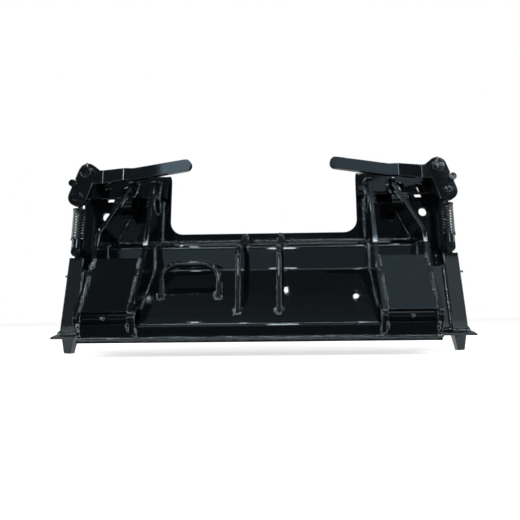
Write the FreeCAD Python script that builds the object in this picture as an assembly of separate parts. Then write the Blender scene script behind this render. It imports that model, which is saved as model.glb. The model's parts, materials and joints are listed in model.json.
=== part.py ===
import FreeCAD, Part
import math
import os

# Skid steer quick attach plate, the coupler that stays on the machine's loader arms.
# Millimetres. X runs across the plate, +Y points at the attachment, Z is up.
# The origin is on the attachment face, midway between its two folds, on the centre plane.
# The machine side of everything is at negative Y. Pieces in pairs are drawn on the +X side.

OUT = "parts"
HALF_TURN = 180.0

# Face plate: one sheet with a hooked top fold and a sloped lower flange
PLATE = 8.0
FACE_HALF_HEIGHT = 211.5
FACE_HALF_WIDTH = 525.0
FOOT_HALF_WIDTH = 561.0
TOP_FOLD_RADIUS = 10.0
TOP_FLANGE_ANGLE = 18.0
TOP_FLANGE_DROP = 74.0
LOWER_FLANGE_ANGLE = 30.0
LOWER_FLANGE_DEPTH = 68.0
LOWER_FOLD_RADIUS = 12.0
CUTOUT_HALF_WIDTH = 271.0
CUTOUT_FLOOR = 39.0
CUTOUT_CORNER = 40.0
SHOULDER_Z = -20.0
SHOULDER_RUN = 25.0
FOOT_FLARE_HEIGHT = 13.0
SIGHT_HOLE_X = 460.0
SIGHT_HOLE_Z = 95.0
SIGHT_HOLE_RADIUS = 12.0
TOWER_HOLE_X = 388.0
TOWER_HOLE_Z = 162.0
TOWER_HOLE_RADIUS = 14.0
SLOT_X = 430.0
SLOT_Z = 139.0
SLOT_WIDTH = 21.0
SLOT_HEIGHT = 31.0
SLOT_SLANT = 10.0

# Torsion box across the lower half of the face
BOX_SHEET = 6.0
BOX_BEND_RADIUS = 10.0
BOX_TOP_Z = 15.0
BOX_LEDGE_DEPTH = 62.0
BOX_LEDGE_DROP = 22.0
BOX_WALL_DROP = 67.0
BOX_WALL_LEAN = 4.0
BOX_NOSE_DEPTH = 172.0
BOX_NOSE_Z = -215.0
BOX_LIP_RETURN = 7.0
FLOOR_PLATE = 10.0
FLOOR_TOP_Z = -246.0
FLOOR_OVERHANG = 5.0
WELD_GAP = 0.3

# Ears that take the loader arm and the tilt cylinder
EAR_PLATE = 12.0
OUTER_EAR_PLATE = 10.0
INNER_EAR_X = 291.0
OUTER_EAR_TOP_X = 356.0
OUTER_EAR_LOW_X = 420.0
OUTER_EAR_KNEE_Z = 155.0
OUTER_EAR_HIP_Z = 22.0
EAR_BEND_RADIUS = 15.0
EAR_TOP_DEPTH = 80.0
EAR_TOP_Z = 176.0
EAR_TOP_CORNER = 15.0
EAR_TOP_RISE = 14.0
EAR_WAIST_DEPTH = 120.0
EAR_WAIST_Z = -12.0
EAR_KINK_DEPTH = 143.0
EAR_KINK_Z = -84.0
EAR_KINK_RADIUS = 60.0
PIVOT_DEPTH = 160.0
PIVOT_Z = -199.0
PIVOT_PIN_RADIUS = 16.0
PIVOT_TUBE_RADIUS = 25.0
PIVOT_EDGE_MARGIN = 13.0
TUBE_STAND_OUT = 5.0
TUBE_INSET = 1.0
TILT_DEPTH = 60.0
TILT_Z = 111.0
TILT_PIN_RADIUS = 16.0
TILT_BUSHING_RADIUS = 25.0
TILT_INNER_LENGTH = 21.0
TILT_OUTER_START_X = 354.0
TILT_OUTER_END_X = 400.0
GUARD_SHEET = 6.0
GUARD_TOP_DEPTH = 126.0
GUARD_TOP_Z = -48.0
GUARD_BOTTOM_DEPTH = 185.5
GUARD_BOTTOM_Z = -185.0
TOE_TOP_DEPTH = 187.0
TOE_TOP_Z = -212.0
TOE_FOOT_DEPTH = 169.0

# Wedge, its housing and the closing plate beside it
WEDGE_X = 508.0
WEDGE_LEAN = 3.5
WEDGE_DEPTH = 40.0
WEDGE_WIDTH = 30.0
WEDGE_THICKNESS = 26.0
WEDGE_TIP_Z = -291.0
WEDGE_TAPER = 36.0
WEDGE_TIP_WIDTH = 18.0
WEDGE_TIP_BEVEL = 7.0
WEDGE_SHANK_WIDTH = 20.0
WEDGE_SHANK_Z = -62.0
WEDGE_SHOULDER = 8.0
WEDGE_HEAD_RADIUS = 11.0
SLIDE_CLEARANCE = 0.3
HOUSING_WALL = 6.5
HOUSING_TOP_Z = -34.0
FLANGE_HOLE_CLEARANCE = 2.0
CLOSING_TOP_Z = -68.0
CLOSING_DEPTH = 46.0
CLOSING_SHEET = 8.0

# Lever, crank and their bolts
LEVER_PLATE = 12.0
LEVER_BACK_DEPTH = 70.0
LEVER_JOGGLE = 19.0
JOGGLE_START_X = 438.0
JOGGLE_END_X = 370.0
JOGGLE_RADIUS = 20.0
LEVER_PIVOT_X = 482.0
LEVER_PIVOT_Z = 203.0
CRANK_X = 506.0
CRANK_Z = 133.5
CRANK_LOBE_RADIUS = 26.0
HANDLE_TIP_X = 204.0
HANDLE_TIP_Z = 212.0
HANDLE_HALF_WIDTH = 16.0
ELBOW_X = 345.0
ELBOW_Z = 189.5
NECK_X = 455.0
NECK_Z = 190.0
NECK_RADIUS = 19.0
PIVOT_BOLT_RADIUS = 10.0
BOSS_RADIUS = 16.0
LEVER_BUSHING_RADIUS = 17.0
LEVER_BUSHING_STAND_OUT = 8.0
CRANK_BOLT_RADIUS = 8.0
WEDGE_BOLT_RADIUS = 6.0
RUNNING_CLEARANCE = 0.05
FACE_CLEARANCE = 0.3
STOP_X = 520.0
STOP_Z = 172.0
STOP_RADIUS = 10.0
STOP_RIB_HEIGHT = 1.6
STOP_RIB_PITCH = 6.0
STOP_STAND_OUT = 6.0
STOP_RELIEF_TURN = 35.0
WASHER_THICKNESS = 3.0
BOLT_HEAD_HEIGHT = 7.0
CRANK_HEAD_HEIGHT = 8.0
THIN_NUT_HEIGHT = 4.5
BOLT_END_WALL = 4.0

# Spring rod, spring and sleeve
EYE_RADIUS = 15.0
EYE_THICKNESS = 14.0
ROD_RADIUS = 6.0
ROD_PAST_SEAT = 3.5
COLLAR_RADIUS = 17.5
COLLAR_START = 31.0
COLLAR_THICKNESS = 4.0
SPRING_RADIUS = 17.0
SPRING_WIRE_RADIUS = 2.5
SPRING_COILS = 11
STEPS_PER_COIL = 12
WIRE_SIDES = 6
SPRING_END = 115.0
SLEEVE_RADIUS = 14.0
SLEEVE_BORE_RADIUS = 11.0
SLEEVE_FLANGE_RADIUS = 17.5
SLEEVE_FLANGE = 4.0
SLEEVE_HEAD_GAP = 0.7
TANG_THICKNESS = 12.0
TANG_RADIUS = 13.0
WEDGE_PIN_Z = -18.0

# Hose loop, hose guard rods and grease fittings
LOOP_X = -177.5
LOOP_HALF_WIDTH = 74.0
LOOP_BAR_RADIUS = 9.0
LOOP_DEPTH = 118.0
LOOP_TOP_Z = -63.0
LOOP_BEND_RADIUS = 46.0
GUARD_ROD_X = 50.5
GUARD_ROD_RADIUS = 8.0
GUARD_ROD_DEPTH = 150.0
GUARD_ROD_TOP_Z = 27.0
GUARD_ROD_BEND_Z = -30.0
GUARD_ROD_BEND_RADIUS = 34.0
FITTING_RADIUS = 4.0
FITTING_LENGTH = 10.0
HOUSING_FITTING_Z = -84.0

# Places worked out from the sizes above
FACE_MID = -PLATE / 2
FACE_BACK = -PLATE
REACH = 900.0
PIVOT_EDGE = PIVOT_TUBE_RADIUS + PIVOT_EDGE_MARGIN
ROD_DEPTH = LEVER_BACK_DEPTH - FACE_CLEARANCE - EYE_THICKNESS / 2
OUTER_EAR_MID_TOP = OUTER_EAR_TOP_X + OUTER_EAR_PLATE / 2
OUTER_EAR_MID_LOW = OUTER_EAR_LOW_X + OUTER_EAR_PLATE / 2
INNER_EAR_OUT = INNER_EAR_X + EAR_PLATE
OUTER_EAR_OUT = OUTER_EAR_LOW_X + OUTER_EAR_PLATE
WEDGE_FRONT = -(WEDGE_DEPTH + WEDGE_THICKNESS / 2)
WEDGE_REAR = -(WEDGE_DEPTH - WEDGE_THICKNESS / 2)
HOUSING_HALF = WEDGE_WIDTH / 2 + SLIDE_CLEARANCE + HOUSING_WALL
FLANGE_RISE = math.tan(math.radians(LOWER_FLANGE_ANGLE))
FLANGE_COS = math.cos(math.radians(LOWER_FLANGE_ANGLE))
ROD_LENGTH = math.dist((CRANK_X, CRANK_Z), (WEDGE_X, WEDGE_PIN_Z))
ROD_END = SPRING_END + ROD_PAST_SEAT
SLEEVE_BORE_END = ROD_LENGTH - WEDGE_HEAD_RADIUS - SLEEVE_HEAD_GAP


def place(point, plane, offset):
    """Turn a flat point into one in space, on a plane at an offset along its normal."""
    a, b = point
    if plane == "yz":
        return FreeCAD.Vector(offset, a, b)
    if plane == "xz":
        return FreeCAD.Vector(a, offset, b)
    return FreeCAD.Vector(a, b, offset)


def extruded(edges, plane, start, end):
    """Close flat edges into a face and extrude it from one offset to the other."""
    wire = Part.Wire(Part.__sortEdges__(edges))
    normals = {"yz": (1, 0, 0), "xz": (0, 1, 0), "xy": (0, 0, 1)}
    run = FreeCAD.Vector(*normals[plane]) * (end - start)
    return Part.Face(wire).extrude(run)


def line(p, q, plane, offset):
    return Part.LineSegment(place(p, plane, offset), place(q, plane, offset)).toShape()


def arc(p, middle, q, plane, offset):
    return Part.Arc(place(p, plane, offset), place(middle, plane, offset), place(q, plane, offset)).toShape()


def towards(p, q):
    length = math.dist(p, q)
    return ((q[0] - p[0]) / length, (q[1] - p[1]) / length)


def left_of(direction):
    return (-direction[1], direction[0])


def moved(p, direction, distance):
    return (p[0] + direction[0] * distance, p[1] + direction[1] * distance)


def corner(before, at, after, radius, offset=0.0):
    """Start, middle and end of a bend at a point, offset to the left of the line."""
    incoming = towards(before, at)
    outgoing = towards(at, after)
    cross = incoming[0] * outgoing[1] - incoming[1] * outgoing[0]
    turn = math.atan2(cross, incoming[0] * outgoing[0] + incoming[1] * outgoing[1])
    side = math.copysign(1.0, turn)
    reach = radius * math.tan(abs(turn) / 2)
    start = moved(at, incoming, -reach)
    centre = moved(start, left_of(incoming), side * radius)
    first, last = left_of(incoming), left_of(outgoing)
    outward = towards((0, 0), (first[0] + last[0], first[1] + last[1]))
    middle = moved(centre, outward, offset - side * radius)
    end = moved(at, outgoing, reach)
    return moved(start, first, offset), middle, moved(end, last, offset)


def outline(corners):
    """Edges of a closed outline, each corner given as two coordinates and a radius."""
    count = len(corners)
    bends = []
    for i in range(count):
        before, at, after = corners[i - 1][:2], corners[i][:2], corners[(i + 1) % count][:2]
        radius = corners[i][2]
        bends.append(corner(before, at, after, radius) if radius else (at, at, at))
    return bends


def plate(corners, plane, start, end):
    """Flat plate with rounded corners."""
    bends = outline(corners)
    edges = []
    for i, bend in enumerate(bends):
        if bend[0] != bend[2]:
            edges.append(arc(*bend, plane, start))
        edges.append(line(bend[2], bends[(i + 1) % len(bends)][0], plane, start))
    return extruded(edges, plane, start, end)


def folded(points, thickness, radius, plane, start, end):
    """Folded sheet that follows a middle line, with the same radius at each fold."""
    edges = []
    sides = []
    for offset in (thickness / 2, -thickness / 2):
        normal = left_of(towards(points[0], points[1]))
        here = moved(points[0], normal, offset)
        sides.append([here])
        for i in range(1, len(points) - 1):
            bend = corner(points[i - 1], points[i], points[i + 1], radius, offset)
            edges.append(line(here, bend[0], plane, start))
            edges.append(arc(*bend, plane, start))
            here = bend[2]
        normal = left_of(towards(points[-2], points[-1]))
        last = moved(points[-1], normal, offset)
        edges.append(line(here, last, plane, start))
        sides[-1].append(last)
    edges.append(line(sides[0][0], sides[1][0], plane, start))
    edges.append(line(sides[0][1], sides[1][1], plane, start))
    return extruded(edges, plane, start, end)


def link(p, p_radius, q, q_radius, start, end):
    """Flat bar across Y with a round end about each of two points."""
    heading = math.atan2(q[1] - p[1], q[0] - p[0])
    spread = math.acos((p_radius - q_radius) / math.dist(p, q))

    def rim(centre, radius, angle):
        return (centre[0] + radius * math.cos(angle), centre[1] + radius * math.sin(angle))

    p_low, p_high = rim(p, p_radius, heading - spread), rim(p, p_radius, heading + spread)
    q_low, q_high = rim(q, q_radius, heading - spread), rim(q, q_radius, heading + spread)
    edges = [line(p_low, q_low, "xz", start), line(p_high, q_high, "xz", start)]
    edges.append(arc(q_low, rim(q, q_radius, heading), q_high, "xz", start))
    edges.append(arc(p_low, rim(p, -p_radius, heading), p_high, "xz", start))
    return extruded(edges, "xz", start, end)


def cylinder(radius, start, end):
    """Round bar between two points in space."""
    start, end = FreeCAD.Vector(*start), FreeCAD.Vector(*end)
    return Part.makeCylinder(radius, (end - start).Length, start, end - start)


def across(radius, x_start, x_end, y, z):
    return cylinder(radius, (x_start, y, z), (x_end, y, z))


def outward(radius, x, z, y_start, y_end):
    return cylinder(radius, (x, y_start, z), (x, y_end, z))


def hexagon(radius, x, z, y_start, y_end):
    """Hexagonal head or nut across Y, its size given to the corners."""
    corners = []
    for step in range(6):
        angle = math.radians(60 * step)
        corners.append((x + radius * math.cos(angle), z + radius * math.sin(angle), 0))
    return plate(corners, "xz", y_start, y_end)


def bent_bar(points, radius, bend_radius):
    """Round bar along points in space, with a round bend at each inner point."""
    points = [FreeCAD.Vector(*p) for p in points]
    edges = []
    here = points[0]
    for before, at, after in zip(points, points[1:], points[2:]):
        incoming = (at - before).normalize()
        outgoing = (after - at).normalize()
        turn = incoming.getAngle(outgoing)
        reach = bend_radius * math.tan(turn / 2)
        start, end = at - incoming * reach, at + outgoing * reach
        inward = (outgoing - incoming).normalize()
        middle = at + inward * (bend_radius / math.cos(turn / 2) - bend_radius)
        edges.append(Part.LineSegment(here, start).toShape())
        edges.append(Part.Arc(start, middle, end).toShape())
        here = end
    edges.append(Part.LineSegment(here, points[-1]).toShape())
    section = Part.Wire(Part.makeCircle(radius, points[0], points[1] - points[0]))
    return Part.Wire(edges).makePipeShell([section], True, True)


def mirrored(shape):
    return shape.mirror(FreeCAD.Vector(0, 0, 0), FreeCAD.Vector(1, 0, 0))


def leaned(shape):
    """Turn an upright piece about the wedge's bolt, so that its foot leans outwards."""
    return shape.rotated(FreeCAD.Vector(WEDGE_X, 0, WEDGE_PIN_Z), FreeCAD.Vector(0, 1, 0), -WEDGE_LEAN)


def leaned_x(x, z):
    """Where an upright line at x is at a height, once it leans with the wedge."""
    lean = math.radians(WEDGE_LEAN)
    return WEDGE_X + (x - WEDGE_X) / math.cos(lean) + (WEDGE_PIN_Z - z) * math.tan(lean)


def joined(shapes):
    return shapes[0].multiFuse(shapes[1:]).removeSplitter()


def top_fold_points():
    """Middle line of the top flange: its free edge, then the corner that the fold rounds."""
    turn = math.radians(HALF_TURN - TOP_FLANGE_ANGLE)
    lean = math.tan(math.radians(TOP_FLANGE_ANGLE))
    apex_z = FACE_HALF_HEIGHT - TOP_FOLD_RADIUS - PLATE / 2 + TOP_FOLD_RADIUS * math.tan(turn / 2)
    edge_z = FACE_HALF_HEIGHT - TOP_FLANGE_DROP
    return (FACE_MID - (apex_z - edge_z) * lean, edge_z), (FACE_MID, apex_z)


def lower_flange_end():
    return (-LOWER_FLANGE_DEPTH, -FACE_HALF_HEIGHT - (LOWER_FLANGE_DEPTH - PLATE / 2) * FLANGE_RISE)


def behind_top_flange():
    """Space from the top flange's machine side back through the face."""
    edge, apex = top_fold_points()
    normal = left_of(towards(apex, edge))
    skin = [moved(p, normal, -PLATE / 2) for p in (edge, apex)]
    low = edge[1] - PLATE / 2 * math.sin(math.radians(TOP_FLANGE_ANGLE))
    corners = [(skin[0][0], low, 0), (skin[0][0], skin[0][1], 0), (skin[1][0], skin[1][1], 0)]
    corners += [(PLATE, skin[1][1], 0), (PLATE, low, 0)]
    return plate(corners, "yz", -REACH, REACH)


def lower_sheet(half_width):
    points = [(FACE_MID, 0.0), (FACE_MID, -FACE_HALF_HEIGHT), lower_flange_end()]
    return folded(points, PLATE, LOWER_FOLD_RADIUS, "yz", -half_width, half_width)


def below_lower_flange():
    """The lower flange with its fold, and the space under it."""
    lift = PLATE / 2 / FLANGE_COS
    far = 4 * LOWER_FLANGE_DEPTH
    near_z = -FACE_HALF_HEIGHT + lift + PLATE * FLANGE_RISE
    far_z = -FACE_HALF_HEIGHT + lift - (far + FACE_MID) * FLANGE_RISE
    corners = [(FACE_MID + PLATE, near_z, 0), (-far, far_z, 0)]
    corners += [(-far, far_z - REACH, 0), (FACE_MID + PLATE, near_z - REACH, 0)]
    return joined([plate(corners, "yz", -REACH, REACH), lower_sheet(REACH)])


def face_plate():
    edge, apex = top_fold_points()
    sheet_points = [edge, apex, (FACE_MID, 0.0)]
    upper = folded(sheet_points, PLATE, TOP_FOLD_RADIUS, "yz", -FOOT_HALF_WIDTH, FOOT_HALF_WIDTH)
    sheet = joined([upper, lower_sheet(FOOT_HALF_WIDTH)])

    housing_x = WEDGE_X + HOUSING_HALF
    foot_z = lower_flange_end()[1]
    shoulder_foot, flare_top = SHOULDER_Z - SHOULDER_RUN, foot_z + FOOT_FLARE_HEIGHT
    right = [(FACE_HALF_WIDTH, REACH), (FACE_HALF_WIDTH, SHOULDER_Z)]
    right += [(leaned_x(housing_x, shoulder_foot), shoulder_foot)]
    right += [(leaned_x(housing_x, flare_top), flare_top)]
    right += [(FOOT_HALF_WIDTH, foot_z), (FOOT_HALF_WIDTH, -REACH)]
    corners = [(x, z, 0) for x, z in right] + [(-x, z, 0) for x, z in reversed(right)]
    sheet = sheet.common(plate(corners, "xz", -REACH, REACH))

    half = CUTOUT_HALF_WIDTH
    cutout = [(-half, REACH, 0), (half, REACH, 0)]
    cutout += [(half, CUTOUT_FLOOR, CUTOUT_CORNER), (-half, CUTOUT_FLOOR, CUTOUT_CORNER)]
    sheet = sheet.cut(plate(cutout, "xz", -REACH, REACH))

    slot = [(SLOT_X, SLOT_Z + SLOT_HEIGHT, 3), (SLOT_X + SLOT_WIDTH, SLOT_Z + SLOT_HEIGHT, 3)]
    slot += [(SLOT_X + SLOT_WIDTH + SLOT_SLANT, SLOT_Z, 3), (SLOT_X + SLOT_SLANT, SLOT_Z, 3)]
    left, right = wedge_sides(FLANGE_HOLE_CLEARANCE)
    hole_front = WEDGE_FRONT - FLANGE_HOLE_CLEARANCE
    hole_rear = WEDGE_REAR + FLANGE_HOLE_CLEARANCE
    hole = [(left, hole_front, 0), (right, hole_front, 0), (right, hole_rear, 0), (left, hole_rear, 0)]
    holes = [outward(SIGHT_HOLE_RADIUS, SIGHT_HOLE_X, SIGHT_HOLE_Z, REACH, -REACH)]
    holes.append(outward(TOWER_HOLE_RADIUS, TOWER_HOLE_X, TOWER_HOLE_Z, REACH, -REACH))
    holes.append(plate(slot, "xz", -REACH, REACH))
    holes.append(leaned(plate(hole, "xy", -REACH, SHOULDER_Z - REACH / 5)))
    for hole in holes:
        sheet = sheet.cut(hole).cut(mirrored(hole))
    return sheet


def wedge_sides(clearance):
    """Left and right of the upright wedge, with a clearance."""
    half = WEDGE_WIDTH / 2 + clearance
    return WEDGE_X - half, WEDGE_X + half


def floor_plate():
    """Plate that closes the box and the ear bays underneath, from the flange to the nose."""
    start = -(LOWER_FLANGE_DEPTH + PLATE / 2 / FLANGE_COS * 0.5)
    end = -(BOX_NOSE_DEPTH + FLOOR_OVERHANG)
    low, high = FLOOR_TOP_Z - FLOOR_PLATE, FLOOR_TOP_Z
    corners = [(start, low, 0), (start, high, 0), (end, high, 0), (end, low, 0)]
    return plate(corners, "yz", -OUTER_EAR_OUT, OUTER_EAR_OUT).cut(face_plate())


def box_middle_line():
    ledge = (-BOX_LEDGE_DEPTH, BOX_TOP_Z - BOX_LEDGE_DROP)
    wall_foot = (ledge[0] + BOX_WALL_LEAN, ledge[1] - BOX_WALL_DROP)
    nose = (-BOX_NOSE_DEPTH, BOX_NOSE_Z)
    lip_end = (nose[0] + BOX_LIP_RETURN, FLOOR_TOP_Z - BOX_SHEET)
    return [(FACE_MID, BOX_TOP_Z), ledge, wall_foot, nose, lip_end]


def off_face_and_floor(sheet):
    """Trim a sheet where it meets the face plate and the floor plate."""
    face = [(FACE_BACK, REACH, 0), (PLATE, REACH, 0), (PLATE, -REACH, 0), (FACE_BACK, -REACH, 0)]
    floor = [(PLATE, FLOOR_TOP_Z, 0), (-REACH, FLOOR_TOP_Z, 0), (-REACH, -REACH, 0), (PLATE, -REACH, 0)]
    for corners in (face, floor):
        sheet = sheet.cut(plate(corners, "yz", -REACH, REACH))
    return sheet


def torsion_box_plate():
    half = INNER_EAR_X
    return off_face_and_floor(folded(box_middle_line(), BOX_SHEET, BOX_BEND_RADIUS, "yz", -half, half))


def bay_ledge():
    """The box's ledge and wall, carried on between the two ears."""
    points = box_middle_line()[:3]
    return off_face_and_floor(folded(points, BOX_SHEET, BOX_BEND_RADIUS, "yz", INNER_EAR_OUT, OUTER_EAR_LOW_X))


def toe_plate():
    """Strip in line with the box's lip that closes each ear bay below the pivot tube."""
    points = [(-TOE_TOP_DEPTH, TOE_TOP_Z), (-TOE_FOOT_DEPTH, FLOOR_TOP_Z - GUARD_SHEET)]
    return off_face_and_floor(folded(points, GUARD_SHEET, GUARD_SHEET, "yz", INNER_EAR_OUT, OUTER_EAR_LOW_X))


def box_inside():
    """Everything behind the outer skin of the box sheet, for trimming what stands on it."""
    points = box_middle_line()
    skin = folded(points, BOX_SHEET, BOX_BEND_RADIUS, "yz", -INNER_EAR_X, INNER_EAR_X)
    corners = [(p[0], p[1], 0) for p in points] + [(FACE_MID, FLOOR_TOP_Z, 0)]
    return joined([skin, plate(corners, "yz", -INNER_EAR_X, INNER_EAR_X)])


def ear_outline():
    """Side view of both ears, machine edge first, round the arm pivot at the bottom."""
    kink = (-EAR_KINK_DEPTH, EAR_KINK_Z)
    pivot = (-PIVOT_DEPTH, PIVOT_Z)
    reach = math.dist(kink, pivot)
    bearing = math.atan2(pivot[1] - kink[1], pivot[0] - kink[0])
    slope = bearing - math.asin(PIVOT_EDGE / reach)
    run = reach * math.cos(math.asin(PIVOT_EDGE / reach)) + PIVOT_EDGE * 0.45
    heel = moved(kink, (math.cos(slope), math.sin(slope)), run)
    toe = (-PIVOT_DEPTH - PIVOT_EDGE * 0.3, FLOOR_TOP_Z)
    corners = [(FACE_BACK, EAR_TOP_Z + EAR_TOP_RISE, 0), (-EAR_TOP_DEPTH, EAR_TOP_Z, EAR_TOP_CORNER)]
    corners += [(-EAR_WAIST_DEPTH, EAR_WAIST_Z, 0), (kink[0], kink[1], EAR_KINK_RADIUS)]
    corners += [(heel[0], heel[1], PIVOT_EDGE * 0.8), (toe[0], toe[1], 0), (FACE_BACK, FLOOR_TOP_Z, 0)]
    return corners


def pin_holes():
    pivot = across(PIVOT_TUBE_RADIUS, 0, REACH, -PIVOT_DEPTH, PIVOT_Z)
    tilt = across(TILT_BUSHING_RADIUS, 0, REACH, -TILT_DEPTH, TILT_Z)
    return pivot, tilt


def trimmed_ear(ear):
    for cutter in (behind_top_flange(), below_lower_flange(), *pin_holes()):
        ear = ear.cut(cutter)
    return ear


def inner_ear():
    return trimmed_ear(plate(ear_outline(), "yz", INNER_EAR_X, INNER_EAR_OUT))


def outer_ear():
    points = [(OUTER_EAR_MID_TOP, REACH), (OUTER_EAR_MID_TOP, OUTER_EAR_KNEE_Z)]
    points += [(OUTER_EAR_MID_LOW, OUTER_EAR_HIP_Z), (OUTER_EAR_MID_LOW, -REACH)]
    sheet = folded(points, OUTER_EAR_PLATE, EAR_BEND_RADIUS, "xz", -REACH, FACE_BACK)
    return trimmed_ear(sheet.common(plate(ear_outline(), "yz", INNER_EAR_OUT, REACH)))


def guard_panel():
    points = [(-GUARD_TOP_DEPTH, GUARD_TOP_Z), (-GUARD_BOTTOM_DEPTH, GUARD_BOTTOM_Z)]
    return folded(points, GUARD_SHEET, GUARD_SHEET, "yz", INNER_EAR_OUT, OUTER_EAR_LOW_X)


def arm_pivot_tube():
    start, end = INNER_EAR_X + TUBE_INSET, OUTER_EAR_OUT + TUBE_STAND_OUT
    tube = across(PIVOT_TUBE_RADIUS, start, end, -PIVOT_DEPTH, PIVOT_Z)
    return tube.cut(across(PIVOT_PIN_RADIUS, start - 1, end + 1, -PIVOT_DEPTH, PIVOT_Z))


def tilt_bushings():
    spans = [(INNER_EAR_X, INNER_EAR_X + TILT_INNER_LENGTH)]
    spans.append((TILT_OUTER_START_X, TILT_OUTER_END_X))
    rings = []
    for start, end in spans:
        ring = across(TILT_BUSHING_RADIUS, start, end, -TILT_DEPTH, TILT_Z)
        rings.append(ring.cut(across(TILT_PIN_RADIUS, start - 1, end + 1, -TILT_DEPTH, TILT_Z)))
    return Part.Compound(rings)


def wedge_housing():
    """Channel over the wedge, open to the face plate."""
    front = WEDGE_FRONT - SLIDE_CLEARANCE
    left, right = wedge_sides(SLIDE_CLEARANCE + HOUSING_WALL)
    outer = [(left, FACE_BACK, 0), (left, front - HOUSING_WALL, 5), (right, front - HOUSING_WALL, 5)]
    outer.append((right, FACE_BACK, 0))
    low, high = -REACH / 2, HOUSING_TOP_Z
    channel = plate(outer, "xy", low, high)
    left, right = wedge_sides(SLIDE_CLEARANCE)
    cavity = [(left, PLATE, 0), (left, front, 0), (right, front, 0), (right, PLATE, 0)]
    return leaned(channel.cut(plate(cavity, "xy", low, high))).cut(below_lower_flange())


def wedge_guide_bar():
    """Flat bar on the face plate that the wedge slides against."""
    rear = WEDGE_REAR + SLIDE_CLEARANCE
    left, right = wedge_sides(SLIDE_CLEARANCE)
    corners = [(left, FACE_BACK, 0), (left, rear, 0), (right, rear, 0), (right, FACE_BACK, 0)]
    return leaned(plate(corners, "xy", -REACH / 2, HOUSING_TOP_Z)).cut(below_lower_flange())


def closing_plate():
    """Upright plate between the outer ear and the wedge housing."""
    corners = [(-CLOSING_DEPTH, CLOSING_TOP_Z, 0), (-CLOSING_DEPTH - CLOSING_SHEET, CLOSING_TOP_Z, 0)]
    corners += [(-CLOSING_DEPTH - CLOSING_SHEET, -REACH, 0), (-CLOSING_DEPTH, -REACH, 0)]
    sheet = plate(corners, "yz", OUTER_EAR_OUT, WEDGE_X)
    left = WEDGE_X - HOUSING_HALF
    beside = [(left, PLATE, 0), (left, -REACH, 0), (REACH, -REACH, 0), (REACH, PLATE, 0)]
    return sheet.cut(leaned(plate(beside, "xy", -REACH / 2, REACH / 2))).cut(below_lower_flange())


def wedge():
    half, tip, shank = WEDGE_WIDTH / 2, WEDGE_TIP_WIDTH / 2, WEDGE_SHANK_WIDTH / 2
    taper_z = WEDGE_TIP_Z + WEDGE_TAPER
    right = [(shank, WEDGE_PIN_Z), (shank, WEDGE_SHANK_Z), (half, WEDGE_SHANK_Z - WEDGE_SHOULDER)]
    right += [(half, taper_z), (tip, WEDGE_TIP_Z)]
    corners = [(WEDGE_X + x, z, 0) for x, z in right]
    corners += [(WEDGE_X - x, z, 0) for x, z in reversed(right)]
    bar = plate(corners, "xz", WEDGE_FRONT, WEDGE_REAR)
    bevel = [(WEDGE_FRONT, taper_z, 0), (WEDGE_FRONT + WEDGE_TIP_BEVEL, WEDGE_TIP_Z, 0)]
    bevel += [(WEDGE_FRONT - WEDGE_TIP_BEVEL, WEDGE_TIP_Z - 1, 0), (WEDGE_FRONT - WEDGE_TIP_BEVEL, taper_z, 0)]
    bar = bar.cut(plate(bevel, "yz", WEDGE_X - WEDGE_WIDTH, WEDGE_X + WEDGE_WIDTH))
    boss_front = -(ROD_DEPTH - TANG_THICKNESS / 2 - FACE_CLEARANCE)
    head = outward(WEDGE_HEAD_RADIUS, WEDGE_X, WEDGE_PIN_Z, WEDGE_REAR, boss_front)
    bar = joined([bar, head])
    bore_end = WEDGE_REAR - BOLT_END_WALL
    return leaned(bar.cut(outward(WEDGE_BOLT_RADIUS, WEDGE_X, WEDGE_PIN_Z, bore_end, boss_front - 1)))


def wedge_bolt():
    """Shoulder bolt that holds the sleeve's tang on the wedge."""
    face = -(ROD_DEPTH + TANG_THICKNESS / 2 + FACE_CLEARANCE)
    shank = outward(WEDGE_BOLT_RADIUS, WEDGE_X, WEDGE_PIN_Z, WEDGE_REAR - BOLT_END_WALL, face)
    head = hexagon(WEDGE_BOLT_RADIUS * 1.8, WEDGE_X, WEDGE_PIN_Z, face, face - BOLT_HEAD_HEIGHT)
    return joined([shank, head])


def in_front_of_flange(shape):
    return shape.cut(behind_top_flange())


def pivot_boss():
    front = -(LEVER_BACK_DEPTH - FACE_CLEARANCE)
    post = in_front_of_flange(outward(BOSS_RADIUS, LEVER_PIVOT_X, LEVER_PIVOT_Z, PLATE, front))
    return post.cut(outward(PIVOT_BOLT_RADIUS, LEVER_PIVOT_X, LEVER_PIVOT_Z, FACE_BACK, front - 1))


def lever_front():
    return -(LEVER_BACK_DEPTH + LEVER_PLATE + LEVER_BUSHING_STAND_OUT)


def pivot_bolt():
    """Bolt that the lever turns on, with its washer under the head."""
    radius = PIVOT_BOLT_RADIUS - RUNNING_CLEARANCE
    washer = lever_front() - FACE_CLEARANCE
    shank = outward(radius, LEVER_PIVOT_X, LEVER_PIVOT_Z, -LEVER_BACK_DEPTH / 2, washer)
    seat = washer - WASHER_THICKNESS
    disc = outward(radius * 1.6, LEVER_PIVOT_X, LEVER_PIVOT_Z, washer, seat)
    head = hexagon(radius * 1.4, LEVER_PIVOT_X, LEVER_PIVOT_Z, seat, seat - BOLT_HEAD_HEIGHT)
    return joined([shank, disc, head])


def stop_stud():
    """Ribbed bumper on a stud, where the crank's notch comes to rest."""
    front = -(LEVER_BACK_DEPTH + LEVER_PLATE + STOP_STAND_OUT)
    stud = outward(STOP_RADIUS - STOP_RIB_HEIGHT, STOP_X, STOP_Z, PLATE, front)
    rings = [stud]
    for step in range(4):
        rib_front = front + step * STOP_RIB_PITCH
        rings.append(outward(STOP_RADIUS, STOP_X, STOP_Z, rib_front, rib_front + STOP_RIB_PITCH / 2))
    return in_front_of_flange(joined(rings))


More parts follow.
